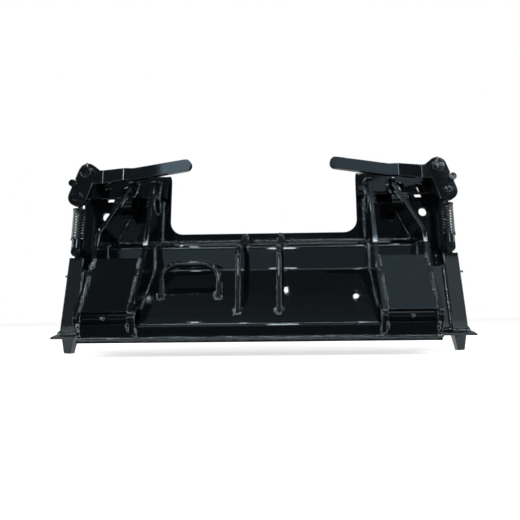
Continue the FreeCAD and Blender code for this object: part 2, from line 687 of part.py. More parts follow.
def stop_path(back, front):
    """Notch for the stop stud, and the arc that the stud passes through as the lever turns."""
    pivot = (LEVER_PIVOT_X, LEVER_PIVOT_Z)
    swing = math.dist(pivot, (STOP_X, STOP_Z))
    room = STOP_RADIUS + FACE_CLEARANCE
    ring = outward(swing + room, *pivot, back, front).cut(outward(swing - room, *pivot, back, front))
    bearing = math.atan2(STOP_Z - LEVER_PIVOT_Z, STOP_X - LEVER_PIVOT_X)
    corners = [(*pivot, 0)]
    for turn in (0, STOP_RELIEF_TURN):
        angle = bearing + math.radians(turn)
        corners.append((pivot[0] + 2 * swing * math.cos(angle), pivot[1] + 2 * swing * math.sin(angle), 0))
    sector = ring.common(plate(corners, "xz", back, front))
    return joined([sector, outward(room, STOP_X, STOP_Z, back, front)])


def lever():
    """Flat bar cut to shape, then joggled towards the machine so the handle clears the ears."""
    back, front = -REACH / 4, 0.0
    tip, elbow = (HANDLE_TIP_X, HANDLE_TIP_Z), (ELBOW_X, ELBOW_Z)
    neck, pivot, crank = (NECK_X, NECK_Z), (LEVER_PIVOT_X, LEVER_PIVOT_Z), (CRANK_X, CRANK_Z)
    lobe = CRANK_LOBE_RADIUS
    links = [link(tip, HANDLE_HALF_WIDTH, elbow, HANDLE_HALF_WIDTH, back, front)]
    links.append(link(elbow, HANDLE_HALF_WIDTH, neck, NECK_RADIUS, back, front))
    links.append(link(neck, NECK_RADIUS, pivot, lobe, back, front))
    links.append(link(pivot, lobe, crank, lobe, back, front))
    profile = joined(links)
    profile = profile.cut(stop_path(back, front))
    near = -(LEVER_BACK_DEPTH + LEVER_PLATE / 2)
    far = near - LEVER_JOGGLE
    points = [(0.0, far), (JOGGLE_END_X, far), (JOGGLE_START_X, near), (REACH, near)]
    bar = folded(points, LEVER_PLATE, JOGGLE_RADIUS, "xy", 0.0, REACH)
    flat = bar.common(profile)
    flat = flat.cut(outward(LEVER_BUSHING_RADIUS, *pivot, back, front))
    return flat.cut(outward(CRANK_BOLT_RADIUS, *crank, back, front))


def lever_bushing():
    bush = outward(LEVER_BUSHING_RADIUS, LEVER_PIVOT_X, LEVER_PIVOT_Z, -LEVER_BACK_DEPTH, lever_front())
    return bush.cut(outward(PIVOT_BOLT_RADIUS, LEVER_PIVOT_X, LEVER_PIVOT_Z, 0, lever_front() - 1))


def crank_bolt():
    """Bolt through the crank and the rod eye, with a thin nut behind the eye."""
    front = -(LEVER_BACK_DEPTH + LEVER_PLATE)
    nut = -(ROD_DEPTH - EYE_THICKNESS / 2 - FACE_CLEARANCE)
    shank = outward(CRANK_BOLT_RADIUS, CRANK_X, CRANK_Z, nut + THIN_NUT_HEIGHT, front)
    head = hexagon(CRANK_BOLT_RADIUS * 1.7, CRANK_X, CRANK_Z, front, front - CRANK_HEAD_HEIGHT)
    thin_nut = hexagon(CRANK_BOLT_RADIUS * 1.5, CRANK_X, CRANK_Z, nut, nut + THIN_NUT_HEIGHT)
    return joined([shank, head, thin_nut])


def grease_fitting(start, direction):
    """Nipple with a collar and a round nose."""
    start, direction = FreeCAD.Vector(*start), FreeCAD.Vector(*direction)
    half = start + direction * (FITTING_LENGTH / 2)
    end = start + direction * FITTING_LENGTH
    base = cylinder(FITTING_RADIUS, start, half)
    return joined([base, cylinder(FITTING_RADIUS * 0.65, half, end)])


def frame_fittings():
    tube_x = (INNER_EAR_OUT + OUTER_EAR_LOW_X) / 2
    tube = grease_fitting((tube_x, -PIVOT_DEPTH - PIVOT_TUBE_RADIUS + 0.5, PIVOT_Z), (0, -1, 0))
    tube = tube.cut(across(PIVOT_TUBE_RADIUS, 0, REACH, -PIVOT_DEPTH, PIVOT_Z))
    housing = grease_fitting((WEDGE_X + HOUSING_HALF, -WEDGE_DEPTH, HOUSING_FITTING_Z), (1, 0, 0))
    return Part.Compound([tube, leaned(housing)])


def lever_fitting():
    y = lever_front() + LEVER_BUSHING_STAND_OUT / 2
    fitting = grease_fitting((LEVER_PIVOT_X, y, LEVER_PIVOT_Z + LEVER_BUSHING_RADIUS - 1), (0, 0, 1))
    return fitting.cut(outward(LEVER_BUSHING_RADIUS, LEVER_PIVOT_X, LEVER_PIVOT_Z, 0, -REACH))


def on_rod(distance):
    """Point on the rod's axis, measured from the crank bolt towards the wedge bolt."""
    share = distance / ROD_LENGTH
    x = CRANK_X + (WEDGE_X - CRANK_X) * share
    z = CRANK_Z + (WEDGE_PIN_Z - CRANK_Z) * share
    return (x, -ROD_DEPTH, z)


def spring_rod():
    half = EYE_THICKNESS / 2
    eye = outward(EYE_RADIUS, CRANK_X, CRANK_Z, -ROD_DEPTH - half, -ROD_DEPTH + half)
    rod = joined([eye, cylinder(ROD_RADIUS, on_rod(0), on_rod(ROD_END))])
    bore = CRANK_BOLT_RADIUS + RUNNING_CLEARANCE
    return rod.cut(outward(bore, CRANK_X, CRANK_Z, 0, -REACH))


def spring_collar():
    ring = cylinder(COLLAR_RADIUS, on_rod(COLLAR_START), on_rod(COLLAR_START + COLLAR_THICKNESS))
    return ring.cut(cylinder(ROD_RADIUS, on_rod(0), on_rod(ROD_END)))


def flat_face(points):
    return Part.Face(Part.makePolygon(points + points[:1]))


def lock_spring():
    """Compression spring wound about the rod's axis, between the collar and the sleeve."""
    start = COLLAR_START + COLLAR_THICKNESS + SPRING_WIRE_RADIUS
    height = SPRING_END - SPRING_WIRE_RADIUS - start
    radius = SPRING_RADIUS - SPRING_WIRE_RADIUS
    rings = []
    for step in range(SPRING_COILS * STEPS_PER_COIL + 1):
        angle = 2 * math.pi * step / STEPS_PER_COIL
        rise = height * step / (SPRING_COILS * STEPS_PER_COIL)
        ring = []
        for side in range(WIRE_SIDES):
            around = 2 * math.pi * side / WIRE_SIDES
            reach = radius + SPRING_WIRE_RADIUS * math.cos(around)
            lift = rise + SPRING_WIRE_RADIUS * math.sin(around)
            ring.append(FreeCAD.Vector(reach * math.cos(angle), reach * math.sin(angle), lift))
        rings.append(ring)
    facets = [flat_face(rings[0]), flat_face(rings[-1])]
    for low, high in zip(rings, rings[1:]):
        for side in range(WIRE_SIDES):
            after = (side + 1) % WIRE_SIDES
            facets.append(flat_face([low[side], low[after], high[after]]))
            facets.append(flat_face([low[side], high[after], high[side]]))
    coil = Part.Solid(Part.Shell(facets))
    axis = FreeCAD.Vector(*on_rod(ROD_LENGTH)) - FreeCAD.Vector(*on_rod(0))
    turn = FreeCAD.Rotation(FreeCAD.Vector(0, 0, 1), axis)
    return coil.transformed(FreeCAD.Placement(FreeCAD.Vector(*on_rod(start)), turn).toMatrix())


def spring_sleeve():
    """Socket that the rod slides in, with a spring seat above and a flat tang below."""
    barrel = cylinder(SLEEVE_RADIUS, on_rod(SPRING_END), on_rod(SLEEVE_BORE_END))
    seat = cylinder(SLEEVE_FLANGE_RADIUS, on_rod(SPRING_END), on_rod(SPRING_END + SLEEVE_FLANGE))
    socket = joined([barrel, seat])
    socket = socket.cut(cylinder(SLEEVE_BORE_RADIUS, on_rod(SPRING_END), on_rod(SLEEVE_BORE_END)))
    half = TANG_THICKNESS / 2
    joint = on_rod(SLEEVE_BORE_END)
    tang = link((joint[0], joint[2]), TANG_RADIUS, (WEDGE_X, WEDGE_PIN_Z), TANG_RADIUS,
                -ROD_DEPTH - half, -ROD_DEPTH + half)
    tang = tang.cut(cylinder(SLEEVE_RADIUS, on_rod(0), on_rod(SLEEVE_BORE_END)))
    bore = WEDGE_BOLT_RADIUS + RUNNING_CLEARANCE
    return joined([socket, tang]).cut(outward(bore, WEDGE_X, WEDGE_PIN_Z, 0, -REACH))


def hose_loop():
    """Round bar bent to a U, standing on the sloped side of the box."""
    left, right = LOOP_X - LOOP_HALF_WIDTH, LOOP_X + LOOP_HALF_WIDTH
    points = [(left, -LOOP_DEPTH, FLOOR_TOP_Z), (left, -LOOP_DEPTH, LOOP_TOP_Z)]
    points += [(right, -LOOP_DEPTH, LOOP_TOP_Z), (right, -LOOP_DEPTH, FLOOR_TOP_Z)]
    return bent_bar(points, LOOP_BAR_RADIUS, LOOP_BEND_RADIUS).cut(box_inside())


def hose_guard_rods():
    """Two bent bars that stand off the box and keep the hoses away from its edge."""
    bars = []
    for side in (-1, 1):
        x = side * GUARD_ROD_X
        points = [(x, FACE_MID, GUARD_ROD_TOP_Z), (x, -GUARD_ROD_DEPTH, GUARD_ROD_BEND_Z)]
        points.append((x, -GUARD_ROD_DEPTH, BOX_NOSE_Z - 2 * GUARD_ROD_RADIUS))
        bar = bent_bar(points, GUARD_ROD_RADIUS, GUARD_ROD_BEND_RADIUS).cut(box_inside())
        face = Part.makeBox(4 * GUARD_ROD_RADIUS, 2 * PLATE, REACH,
                            FreeCAD.Vector(x - 2 * GUARD_ROD_RADIUS, FACE_BACK, -REACH / 2))
        bars.append(bar.cut(face))
    return Part.Compound(bars)


def export(name, shape):
    shape.exportStep(os.path.join(OUT, name + ".step"))


PAIRS = {
    "inner_ear": inner_ear,
    "outer_ear": outer_ear,
    "guard_panel": guard_panel,
    "bay_ledge": bay_ledge,
    "toe_plate": toe_plate,
    "arm_pivot_tube": arm_pivot_tube,
    "tilt_bushings": tilt_bushings,
    "wedge_housing": wedge_housing,
    "wedge_guide_bar": wedge_guide_bar,
    "closing_plate": closing_plate,
    "pivot_boss": pivot_boss,
    "pivot_bolt": pivot_bolt,
    "stop_stud": stop_stud,
    "frame_grease_fittings": frame_fittings,
    "lever": lever,
    "lever_bushing": lever_bushing,
    "lever_grease_fitting": lever_fitting,
    "crank_bolt": crank_bolt,
    "spring_rod": spring_rod,
    "spring_collar": spring_collar,
    "lock_spring": lock_spring,
    "spring_sleeve": spring_sleeve,
    "wedge": wedge,
    "wedge_bolt": wedge_bolt,
}

SINGLES = {
    "face_plate": face_plate,
    "torsion_box_plate": torsion_box_plate,
    "floor_plate": floor_plate,
    "hose_loop": hose_loop,
    "hose_guard_rods": hose_guard_rods,
}

os.makedirs(OUT, exist_ok=True)
for name, make in SINGLES.items():
    export(name, make())
for name, make in PAIRS.items():
    right_hand = make()
    export(name + "_right", right_hand)
    export(name + "_left", mirrored(right_hand))
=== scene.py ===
import json
import math
import bmesh
import bpy
from mathutils import Matrix, Vector, noise
from mathutils.bvhtree import BVHTree


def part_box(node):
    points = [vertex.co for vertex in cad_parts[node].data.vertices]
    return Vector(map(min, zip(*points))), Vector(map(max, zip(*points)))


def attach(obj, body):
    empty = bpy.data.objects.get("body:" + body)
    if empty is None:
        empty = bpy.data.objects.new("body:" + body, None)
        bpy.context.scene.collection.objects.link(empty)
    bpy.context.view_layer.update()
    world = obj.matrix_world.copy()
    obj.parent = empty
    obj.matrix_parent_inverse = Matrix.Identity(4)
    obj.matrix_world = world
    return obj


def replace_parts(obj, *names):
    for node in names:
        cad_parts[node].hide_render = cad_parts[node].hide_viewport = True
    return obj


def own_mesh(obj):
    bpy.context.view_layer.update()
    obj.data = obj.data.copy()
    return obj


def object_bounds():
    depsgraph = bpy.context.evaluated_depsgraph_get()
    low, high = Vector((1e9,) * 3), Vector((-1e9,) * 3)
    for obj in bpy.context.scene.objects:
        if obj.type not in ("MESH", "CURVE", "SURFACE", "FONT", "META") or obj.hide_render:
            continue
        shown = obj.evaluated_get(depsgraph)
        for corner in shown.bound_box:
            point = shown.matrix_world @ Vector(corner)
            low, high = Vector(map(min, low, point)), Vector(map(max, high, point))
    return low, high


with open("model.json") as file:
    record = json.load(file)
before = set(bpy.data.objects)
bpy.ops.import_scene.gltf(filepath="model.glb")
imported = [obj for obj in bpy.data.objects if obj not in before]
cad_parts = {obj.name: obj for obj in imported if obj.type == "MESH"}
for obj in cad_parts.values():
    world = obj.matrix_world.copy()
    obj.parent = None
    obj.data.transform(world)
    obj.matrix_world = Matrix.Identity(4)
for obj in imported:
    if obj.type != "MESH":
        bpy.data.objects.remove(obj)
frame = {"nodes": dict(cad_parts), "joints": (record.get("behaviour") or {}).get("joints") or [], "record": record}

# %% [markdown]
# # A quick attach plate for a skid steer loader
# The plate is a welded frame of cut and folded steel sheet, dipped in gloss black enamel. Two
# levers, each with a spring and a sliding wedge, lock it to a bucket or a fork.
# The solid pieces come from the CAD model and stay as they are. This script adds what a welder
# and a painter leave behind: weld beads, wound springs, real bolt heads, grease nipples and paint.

MM = 0.001
SIDES = {"right": 1, "left": -1}
nodes = frame["nodes"]
joint_places = {joint["name"]: joint for joint in frame["joints"]}
cad_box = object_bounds()
print("CAD box in metres:", cad_box)

# %% [markdown]
# ## The camera
# The photo was taken with a wide lens, a little below the middle of the plate and looking
# slightly up. The numbers were found by matching known corners of the part with their places in
# the photo. The lens is given in pixels of a 520 pixel wide picture and turned into millimetres,
# and the lens shift moves the picture's centre without turning the camera.

# %% Camera
PICTURE_WIDTH = 520
SENSOR = 36.0
LENS_PIXELS = 385.07
CENTRE_SHIFT_PIXELS = (26.89, 1.62)
CAMERA_PLACE = Vector((89.11, -1093.1, -195.06)) * MM
CAMERA_TURN, CAMERA_RISE, CAMERA_ROLL = (math.radians(angle) for angle in (-1.14, 8.39, 0.63))

ahead = Vector((math.sin(CAMERA_TURN) * math.cos(CAMERA_RISE),
                math.cos(CAMERA_TURN) * math.cos(CAMERA_RISE),
                math.sin(CAMERA_RISE)))
level_right = Vector((math.cos(CAMERA_TURN), -math.sin(CAMERA_TURN), 0.0))
level_up = level_right.cross(ahead)
camera_right = level_right * math.cos(CAMERA_ROLL) - level_up * math.sin(CAMERA_ROLL)
camera_up = level_right * math.sin(CAMERA_ROLL) + level_up * math.cos(CAMERA_ROLL)

camera = bpy.data.objects.new("camera", bpy.data.cameras.new("camera"))
bpy.context.scene.collection.objects.link(camera)
camera.data.sensor_width = SENSOR
camera.data.lens = LENS_PIXELS * SENSOR / PICTURE_WIDTH
camera.data.shift_x = -CENTRE_SHIFT_PIXELS[0] / PICTURE_WIDTH
camera.data.shift_y = -CENTRE_SHIFT_PIXELS[1] / PICTURE_WIDTH
turn = Matrix((camera_right, camera_up, -ahead)).transposed()
camera.matrix_world = Matrix.Translation(CAMERA_PLACE) @ turn.to_4x4()
bpy.context.scene.camera = camera
print("lens in millimetres:", round(camera.data.lens, 2))

# %% [markdown]
# ## Helpers for materials
# A procedural material is a small network of nodes. Two helpers keep it short: one adds a node
# with its settings, and one joins two sockets. Textures use object coordinates in metres, so a
# scale of 250 gives features of about 4 mm on every piece.

# %% Node helpers
def add_node(tree, kind, **settings):
    node = tree.nodes.new(kind)
    for name, value in settings.items():
        setattr(node, name, value)
    return node


def new_group(name, inputs, outputs):
    """A shader node group with named sockets, and its two end nodes."""
    tree = bpy.data.node_groups.new(name, "ShaderNodeTree")
    for label, kind, value in inputs:
        socket = tree.interface.new_socket(label, in_out="INPUT", socket_type=kind)
        socket.default_value = value
    for label, kind in outputs:
        tree.interface.new_socket(label, in_out="OUTPUT", socket_type=kind)
    return tree, add_node(tree, "NodeGroupInput"), add_node(tree, "NodeGroupOutput")


def texture_noise(tree, place, scale, detail=2.0, roughness=0.5):
    """Noise whose features are about 1 / scale metres wide."""
    cloud = add_node(tree, "ShaderNodeTexNoise")
    cloud.inputs["Detail"].default_value = detail
    cloud.inputs["Roughness"].default_value = roughness
    tree.links.new(place, cloud.inputs["Vector"])
    if isinstance(scale, float):
        cloud.inputs["Scale"].default_value = scale
    else:
        tree.links.new(scale, cloud.inputs["Scale"])
    return cloud.outputs["Fac"]


def remap(tree, value, low, high, to_low=0.0, to_high=1.0):
    """Spread a value from one range over another, without going past its ends."""
    spread = add_node(tree, "ShaderNodeMapRange", clamp=True)
    tree.links.new(value, spread.inputs["Value"])
    for socket, amount in zip(("From Min", "From Max", "To Min", "To Max"), (low, high, to_low, to_high)):
        if isinstance(amount, (int, float)):
            spread.inputs[socket].default_value = amount
        else:
            tree.links.new(amount, spread.inputs[socket])
    return spread.outputs["Result"]


def calculate(tree, operation, first, second):
    step = add_node(tree, "ShaderNodeMath", operation=operation)
    for index, amount in enumerate((first, second)):
        if isinstance(amount, (int, float)):
            step.inputs[index].default_value = amount
        else:
            tree.links.new(amount, step.inputs[index])
    return step.outputs["Value"]


def blend_colours(tree, share, first, second):
    mix = add_node(tree, "ShaderNodeMix", data_type="RGBA")
    tree.links.new(share, mix.inputs["Factor"])
    for socket, colour in ((mix.inputs[6], first), (mix.inputs[7], second)):
        if isinstance(colour, tuple):
            socket.default_value = colour
        else:
            tree.links.new(colour, socket)
    return mix.outputs[2]


# %% [markdown]
# ## What a dipped enamel film looks like
# Gloss enamel on rough steel is never a mirror. It has orange peel, a wave of about 4 mm that
# breaks up reflections, slow changes of gloss where it ran thick or thin, and fine dust that
# lies on faces that look up. One group makes all three, and each paint gives it its own values.
# A group is used, not a copied network, because a change in it then reaches every paint.

# %% The paint film group
PEEL_SCALE, SAG_SCALE, PATCH_SCALE, SPECK_SCALE, CLUMP_SCALE = 240.0, 38.0, 9.0, 1400.0, 26.0
PEEL_SHARE = 0.35
DUST_ON_WALLS = 0.15
DUST_ROUGHNESS = 0.35

film, film_in, film_out = new_group(
    "paint_film",
    [("Colour", "NodeSocketColor", (0.004, 0.004, 0.004, 1.0)),
     ("Dust colour", "NodeSocketColor", (0.06, 0.06, 0.058, 1.0)),
     ("Peel scale", "NodeSocketFloat", PEEL_SCALE),
     ("Gloss low", "NodeSocketFloat", 0.12),
     ("Gloss high", "NodeSocketFloat", 0.3),
     ("Dust", "NodeSocketFloat", 0.3)],
    [("Colour", "NodeSocketColor"), ("Roughness", "NodeSocketFloat"), ("Height", "NodeSocketFloat")])
place = add_node(film, "ShaderNodeTexCoord").outputs["Object"]
peel = texture_noise(film, place, film_in.outputs["Peel scale"], 1.5)
sags = texture_noise(film, place, SAG_SCALE, 2.0)
patches = texture_noise(film, place, PATCH_SCALE, 4.0, 0.6)
specks = texture_noise(film, place, SPECK_SCALE, 1.0)
clumps = texture_noise(film, place, CLUMP_SCALE, 5.0, 0.65)

height = calculate(film, "ADD", calculate(film, "MULTIPLY", peel, PEEL_SHARE), sags)
film.links.new(height, film_out.inputs["Height"])

up_face = add_node(film, "ShaderNodeSeparateXYZ")
film.links.new(add_node(film, "ShaderNodeNewGeometry").outputs["Normal"], up_face.inputs["Vector"])
lying = remap(film, up_face.outputs["Z"], -0.2, 1.0, DUST_ON_WALLS, 1.0)
grain = calculate(film, "MULTIPLY", remap(film, specks, 0.55, 0.75),
                  remap(film, clumps, 0.42, 0.7, 0.1, 1.0))
dust = calculate(film, "MULTIPLY", calculate(film, "MULTIPLY", grain, lying), film_in.outputs["Dust"])
film.links.new(blend_colours(film, dust, film_in.outputs["Colour"], film_in.outputs["Dust colour"]),
               film_out.inputs["Colour"])

gloss = remap(film, patches, 0.35, 0.7, film_in.outputs["Gloss low"], film_in.outputs["Gloss high"])
film.links.new(calculate(film, "ADD", gloss, calculate(film, "MULTIPLY", dust, DUST_ROUGHNESS)),
               film_out.inputs["Roughness"])
print("paint film inputs:", len(film_in.outputs) - 1)

# %% [markdown]
# ## Edges
# Cut sheet has a small burr that paint rounds off, so each edge catches a thin line of light.
# The Bevel node gives a normal that is rounded near edges without changing the mesh. Where that
# normal departs from the flat one there is an edge, and this is also where paint chips first.
# How far the two depart is read from the cosine between them, which is 1 on a flat face.

# %% The edge group
BEVEL_SAMPLES = 6
FLAT_COSINE, EDGE_COSINE = 0.995, 0.72
FLAKE_SCALE = 120.0

edges, edges_in, edges_out = new_group(
    "worn_edges",
    [("Radius", "NodeSocketFloat", 0.0012), ("Chips", "NodeSocketFloat", 0.3)],
    [("Chip", "NodeSocketFloat"), ("Normal", "NodeSocketVector")])
rounded = add_node(edges, "ShaderNodeBevel", samples=BEVEL_SAMPLES)
edges.links.new(edges_in.outputs["Radius"], rounded.inputs["Radius"])
flat_normal = add_node(edges, "ShaderNodeNewGeometry")
agree = add_node(edges, "ShaderNodeVectorMath", operation="DOT_PRODUCT")
edges.links.new(rounded.outputs["Normal"], agree.inputs[0])
edges.links.new(flat_normal.outputs["Normal"], agree.inputs[1])
edge = remap(edges, agree.outputs["Value"], EDGE_COSINE, FLAT_COSINE, 1.0, 0.0)
place = add_node(edges, "ShaderNodeTexCoord").outputs["Object"]
flakes = remap(edges, texture_noise(edges, place, FLAKE_SCALE, 6.0, 0.7), 0.56, 0.64)
chip = calculate(edges, "MULTIPLY", calculate(edges, "MULTIPLY", edge, flakes), edges_in.outputs["Chips"])
edges.links.new(chip, edges_out.inputs["Chip"])
edges.links.new(rounded.outputs["Normal"], edges_out.inputs["Normal"])
print("bevel samples:", BEVEL_SAMPLES)

# %% [markdown]
# ## The paints
# Every finish here is the same two groups with other values. What is the same all over a
# surface, such as the specular level and its tint, is set on the shader's own sockets.
# The enamel is nearly black with a slight blue in its colour. The specular tint paints a cool
# cast of daylight into its reflections.

# %% One enamel material
STEEL = (0.09, 0.088, 0.085, 1.0)
PAINTED_COOL_REFLECTION_TINT = (0.78, 0.92, 1.0, 1.0)
CHIP_ROUGHNESS = 0.3


def enamel(name, colour, gloss, dust=0.25, chips=0.15, edge_radius=1.2, peel=0.16, level=0.5,
           metal=0.0, wave_height=0.4, peel_scale=PEEL_SCALE):
    """Painted steel with orange peel, dust and chipped edges; lengths are in millimetres."""
    material = bpy.data.materials.new(name)
    material.use_nodes = True
    tree = material.node_tree
    shader = tree.nodes["Principled BSDF"]
    coat = add_node(tree, "ShaderNodeGroup", node_tree=film)
    coat.inputs["Colour"].default_value = (*colour, 1.0)
    coat.inputs["Gloss low"].default_value, coat.inputs["Gloss high"].default_value = gloss
    coat.inputs["Dust"].default_value = dust
    coat.inputs["Peel scale"].default_value = peel_scale
    wear = add_node(tree, "ShaderNodeGroup", node_tree=edges)
    wear.inputs["Radius"].default_value = edge_radius * MM
    wear.inputs["Chips"].default_value = chips
    tree.links.new(blend_colours(tree, wear.outputs["Chip"], coat.outputs["Colour"], STEEL),
                   shader.inputs["Base Color"])
    rougher = calculate(tree, "MULTIPLY", wear.outputs["Chip"], CHIP_ROUGHNESS)
    tree.links.new(calculate(tree, "ADD", coat.outputs["Roughness"], rougher),
                   shader.inputs["Roughness"])
    wave = add_node(tree, "ShaderNodeBump")
    wave.inputs["Strength"].default_value = peel
    wave.inputs["Distance"].default_value = wave_height * MM
    tree.links.new(coat.outputs["Height"], wave.inputs["Height"])
    tree.links.new(wear.outputs["Normal"], wave.inputs["Normal"])
    tree.links.new(wave.outputs["Normal"], shader.inputs["Normal"])
    shader.inputs["Specular IOR Level"].default_value = level
    # Painted cool cast on the reflections, for the cool daylight that they mirror.
    shader.inputs["Specular Tint"].default_value = PAINTED_COOL_REFLECTION_TINT
    shader.inputs["Metallic"].default_value = metal
    return material


# %% [markdown]
# The frame is dipped as one piece. Bushings and linkage are sprayed and a little duller, bolts
# carry thick lumpy paint, and the nipples are bare metal with overspray. Hands polish the
# levers, the box plate has wide rounded folds, and round bar holds a smooth thin film. A weld
# bead is painted over too, but its ripples make the same paint sparkle.
# A gloss is the roughness where the film is thin and where it is thick.

# %% All the finishes
finishes = {
    "frame_paint": enamel("frame_enamel", (0.0014, 0.0018, 0.0022), gloss=(0.02, 0.08), edge_radius=2.2),
    "bushing_black": enamel("bushing_enamel", (0.0014, 0.0016, 0.0018), gloss=(0.1, 0.2), chips=0.3,
                            level=0.14),
    "linkage_black": enamel("linkage_enamel", (0.0022, 0.0024, 0.0027), gloss=(0.06, 0.18), chips=0.5),
    "spring_black": enamel("spring_enamel", (0.0018, 0.0020, 0.0024), gloss=(0.02, 0.07), dust=0.1,
                           chips=0.0, edge_radius=0.2, peel=0.1, level=1.0),
    "fastener_black": enamel("bolt_enamel", (0.0018, 0.0021, 0.0024), gloss=(0.02, 0.08), chips=0.3,
                             edge_radius=1.4, peel=0.8, level=0.55, wave_height=1.4, peel_scale=260.0),
    "fitting_steel": enamel("fitting_paint", (0.16, 0.16, 0.165), gloss=(0.1, 0.22), chips=0.9,
                            edge_radius=0.3, level=0.8, metal=0.9),
}
own_paint = {
    "lever": enamel("lever_enamel", (0.0020, 0.0024, 0.0030), gloss=(0.06, 0.13), chips=0.3,
                    edge_radius=2.6, peel=0.08),
    "torsion_box_plate": enamel("folded_enamel", (0.0014, 0.0018, 0.0022), gloss=(0.015, 0.05),
                                edge_radius=6.0),
    "hose_loop": enamel("round_bar_enamel", (0.0012, 0.0014, 0.0017), gloss=(0.015, 0.05), peel=0.06,
                        level=0.4),
}
own_paint["hose_guard_rods"] = own_paint["hose_loop"]
own_paint["stop_stud"] = finishes["fastener_black"]
weld_paint = enamel("weld_enamel", (0.0016, 0.0020, 0.0023), gloss=(0.02, 0.08), dust=0.2, chips=0.0,
                    edge_radius=0.3, peel=1.0, level=1.0, wave_height=3.2, peel_scale=150.0)
print("finishes:", sorted(finishes))

# %% [markdown]
# ## Painting the CAD pieces
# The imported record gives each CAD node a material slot, and the same slot names pick the finish.
# A few pieces have their own paint, found by their names without the side. The meshes stay as
# they are, and only the material list of each is filled anew.

# %% Paint the CAD nodes
node_slots = {part["node"]: part["material_slot"] for part in frame["record"]["subparts"]}
for name, piece in nodes.items():
    without_side = name.removesuffix("_right").removesuffix("_left")
    finish = own_paint.get(without_side, finishes[node_slots[name]])
    piece.data.materials.clear()
    piece.data.materials.append(finish)
print("painted nodes:", len(nodes))

# %% [markdown]
# ## Building a piece
# Most small pieces are turned: a profile spun about an axis. Others are rings along a path.
# Both are the same thing in mesh code, a row of rings joined by faces, so one function makes
# the skin from rings and a second turns finished shells into an object on its CAD body.

# %% Skin from rings, and new objects
def skin(mesh, rings):
    """Join a row of rings, each the same number of points, with quads, and close both ends."""
    rows = [[mesh.verts.new(point) for point in ring] for ring in rings]
    count = len(rows[0])
    for low, high in zip(rows, rows[1:]):
        for i in range(count):
            after = (i + 1) % count
            mesh.faces.new((low[i], low[after], high[after], high[i]))
    mesh.faces.new(list(reversed(rows[0])))
    mesh.faces.new(rows[-1])


def make_piece(name, mesh, body, finish, smooth_below=35.0):
    """Turn shells into an object that rides on a CAD body."""
    bmesh.ops.recalc_face_normals(mesh, faces=mesh.faces)
    data = bpy.data.meshes.new(name)
    mesh.to_mesh(data)
    mesh.free()
    data.shade_smooth()
    data.set_sharp_from_angle(angle=math.radians(smooth_below))
    data.materials.append(finish)
    piece = bpy.data.objects.new(name, data)
    bpy.context.scene.collection.objects.link(piece)
    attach(piece, body)
    return piece


def turned(mesh, base, axis, profile, sides=40):
    """Shell of a profile of (distance along the axis, radius) spun about the axis."""
    axis = Vector(axis).normalized()
    first = axis.orthogonal().normalized() if abs(axis.y) < 0.9 else Vector((1, 0, 0))
    second = axis.cross(first)
    rings = []
    for distance, radius in profile:
        centre = Vector(base) + axis * distance
        ring = []
        for i in range(sides):
            angle = 2 * math.pi * i / sides
            ring.append(centre + (first * math.cos(angle) + second * math.sin(angle)) * radius)
        rings.append(ring)
    skin(mesh, rings)


# %% [markdown]
# ## Weld beads
# The frame is held together by fillet welds, and the photo shows their ripples on nearly every
# corner. A weld lies where an edge of one plate meets another plate. Those places can be found
# instead of typed: walk along the sharp edges of one CAD node and keep the stretches that touch
# the other node. Kept stretches that share an end are chained into one seam.

# %% Find where two plates meet
TOUCH = 1.2 * MM
SAMPLE = 5.0 * MM
SAME_POINT = 0.01 * MM
SHARP = math.radians(28)


def surface_of(name):
    """A CAD node's faces in a search tree, which answers how near a point is to them."""
    piece = nodes[name]
    corners = [vertex.co.copy() for vertex in piece.data.vertices]
    return BVHTree.FromPolygons(corners, [list(face.vertices) for face in piece.data.polygons])


def sharp_edges(name):
    """The edges of a CAD node where two of its faces meet at a clear angle."""
    mesh = bmesh.new()
    mesh.from_mesh(nodes[name].data)
    bmesh.ops.remove_doubles(mesh, verts=mesh.verts, dist=SAME_POINT)
    lines = []
    for edge in mesh.edges:
        if len(edge.link_faces) == 2 and edge.calc_face_angle(0.0) > SHARP:
            lines.append((edge.verts[0].co.copy(), edge.verts[1].co.copy()))
    mesh.free()
    return lines


def touching_runs(line, surface):
    """Stretches of a straight edge whose points lie on the surface."""
    start, end = line
    count = max(1, round((end - start).length / SAMPLE))
    runs, begun = [], None
    for i in range(count):
        middle = start.lerp(end, (i + 0.5) / count)
        near = surface.find_nearest(middle, TOUCH)[0] is not None
        if near and begun is None:
            begun = i
        if begun is not None and not near:
            runs.append((start.lerp(end, begun / count), start.lerp(end, i / count)))
            begun = None
    if begun is not None:
        runs.append((start.lerp(end, begun / count), end))
    return runs


# %% [markdown]
# A curved seam comes out as many short runs, one for each straight edge of the mesh. Ends that
# round to the same grid point are the same corner, so the runs are joined there, forwards and
# backwards, until no run is left. One long seam gives one bead without gaps.

# %% Chain the runs into seams
CHAIN_GRID = 0.05 * MM


def chained(runs):
    """Join runs that share an end into seams."""
    def key(point):
        return tuple(round(value / CHAIN_GRID) for value in point)

    ends = {}
    for index, run in enumerate(runs):
        for point in run:
            ends.setdefault(key(point), []).append(index)
    unused, seams = set(range(len(runs))), []
    while unused:
        index = min(unused)
        unused.discard(index)
        seam = list(runs[index])
        for forward in (True, False):
            while True:
                tip = key(seam[-1] if forward else seam[0])
                following = [i for i in ends[tip] if i in unused]
                if not following:
                    break
                unused.discard(following[0])
                a, b = runs[following[0]]
                far = b if key(a) == tip else a
                seam.insert(len(seam) if forward else 0, far)
        seams.append(seam)
    return seams


def seams_between(plate, onto):
    """Where the sharp edges of one plate lie on another."""
    surface = surface_of(onto)
    runs = [run for line in sharp_edges(plate) for run in touching_runs(line, surface)]
    return chained(runs)


print("seams of the floor under the box:", len(seams_between("floor_plate", "torsion_box_plate")))


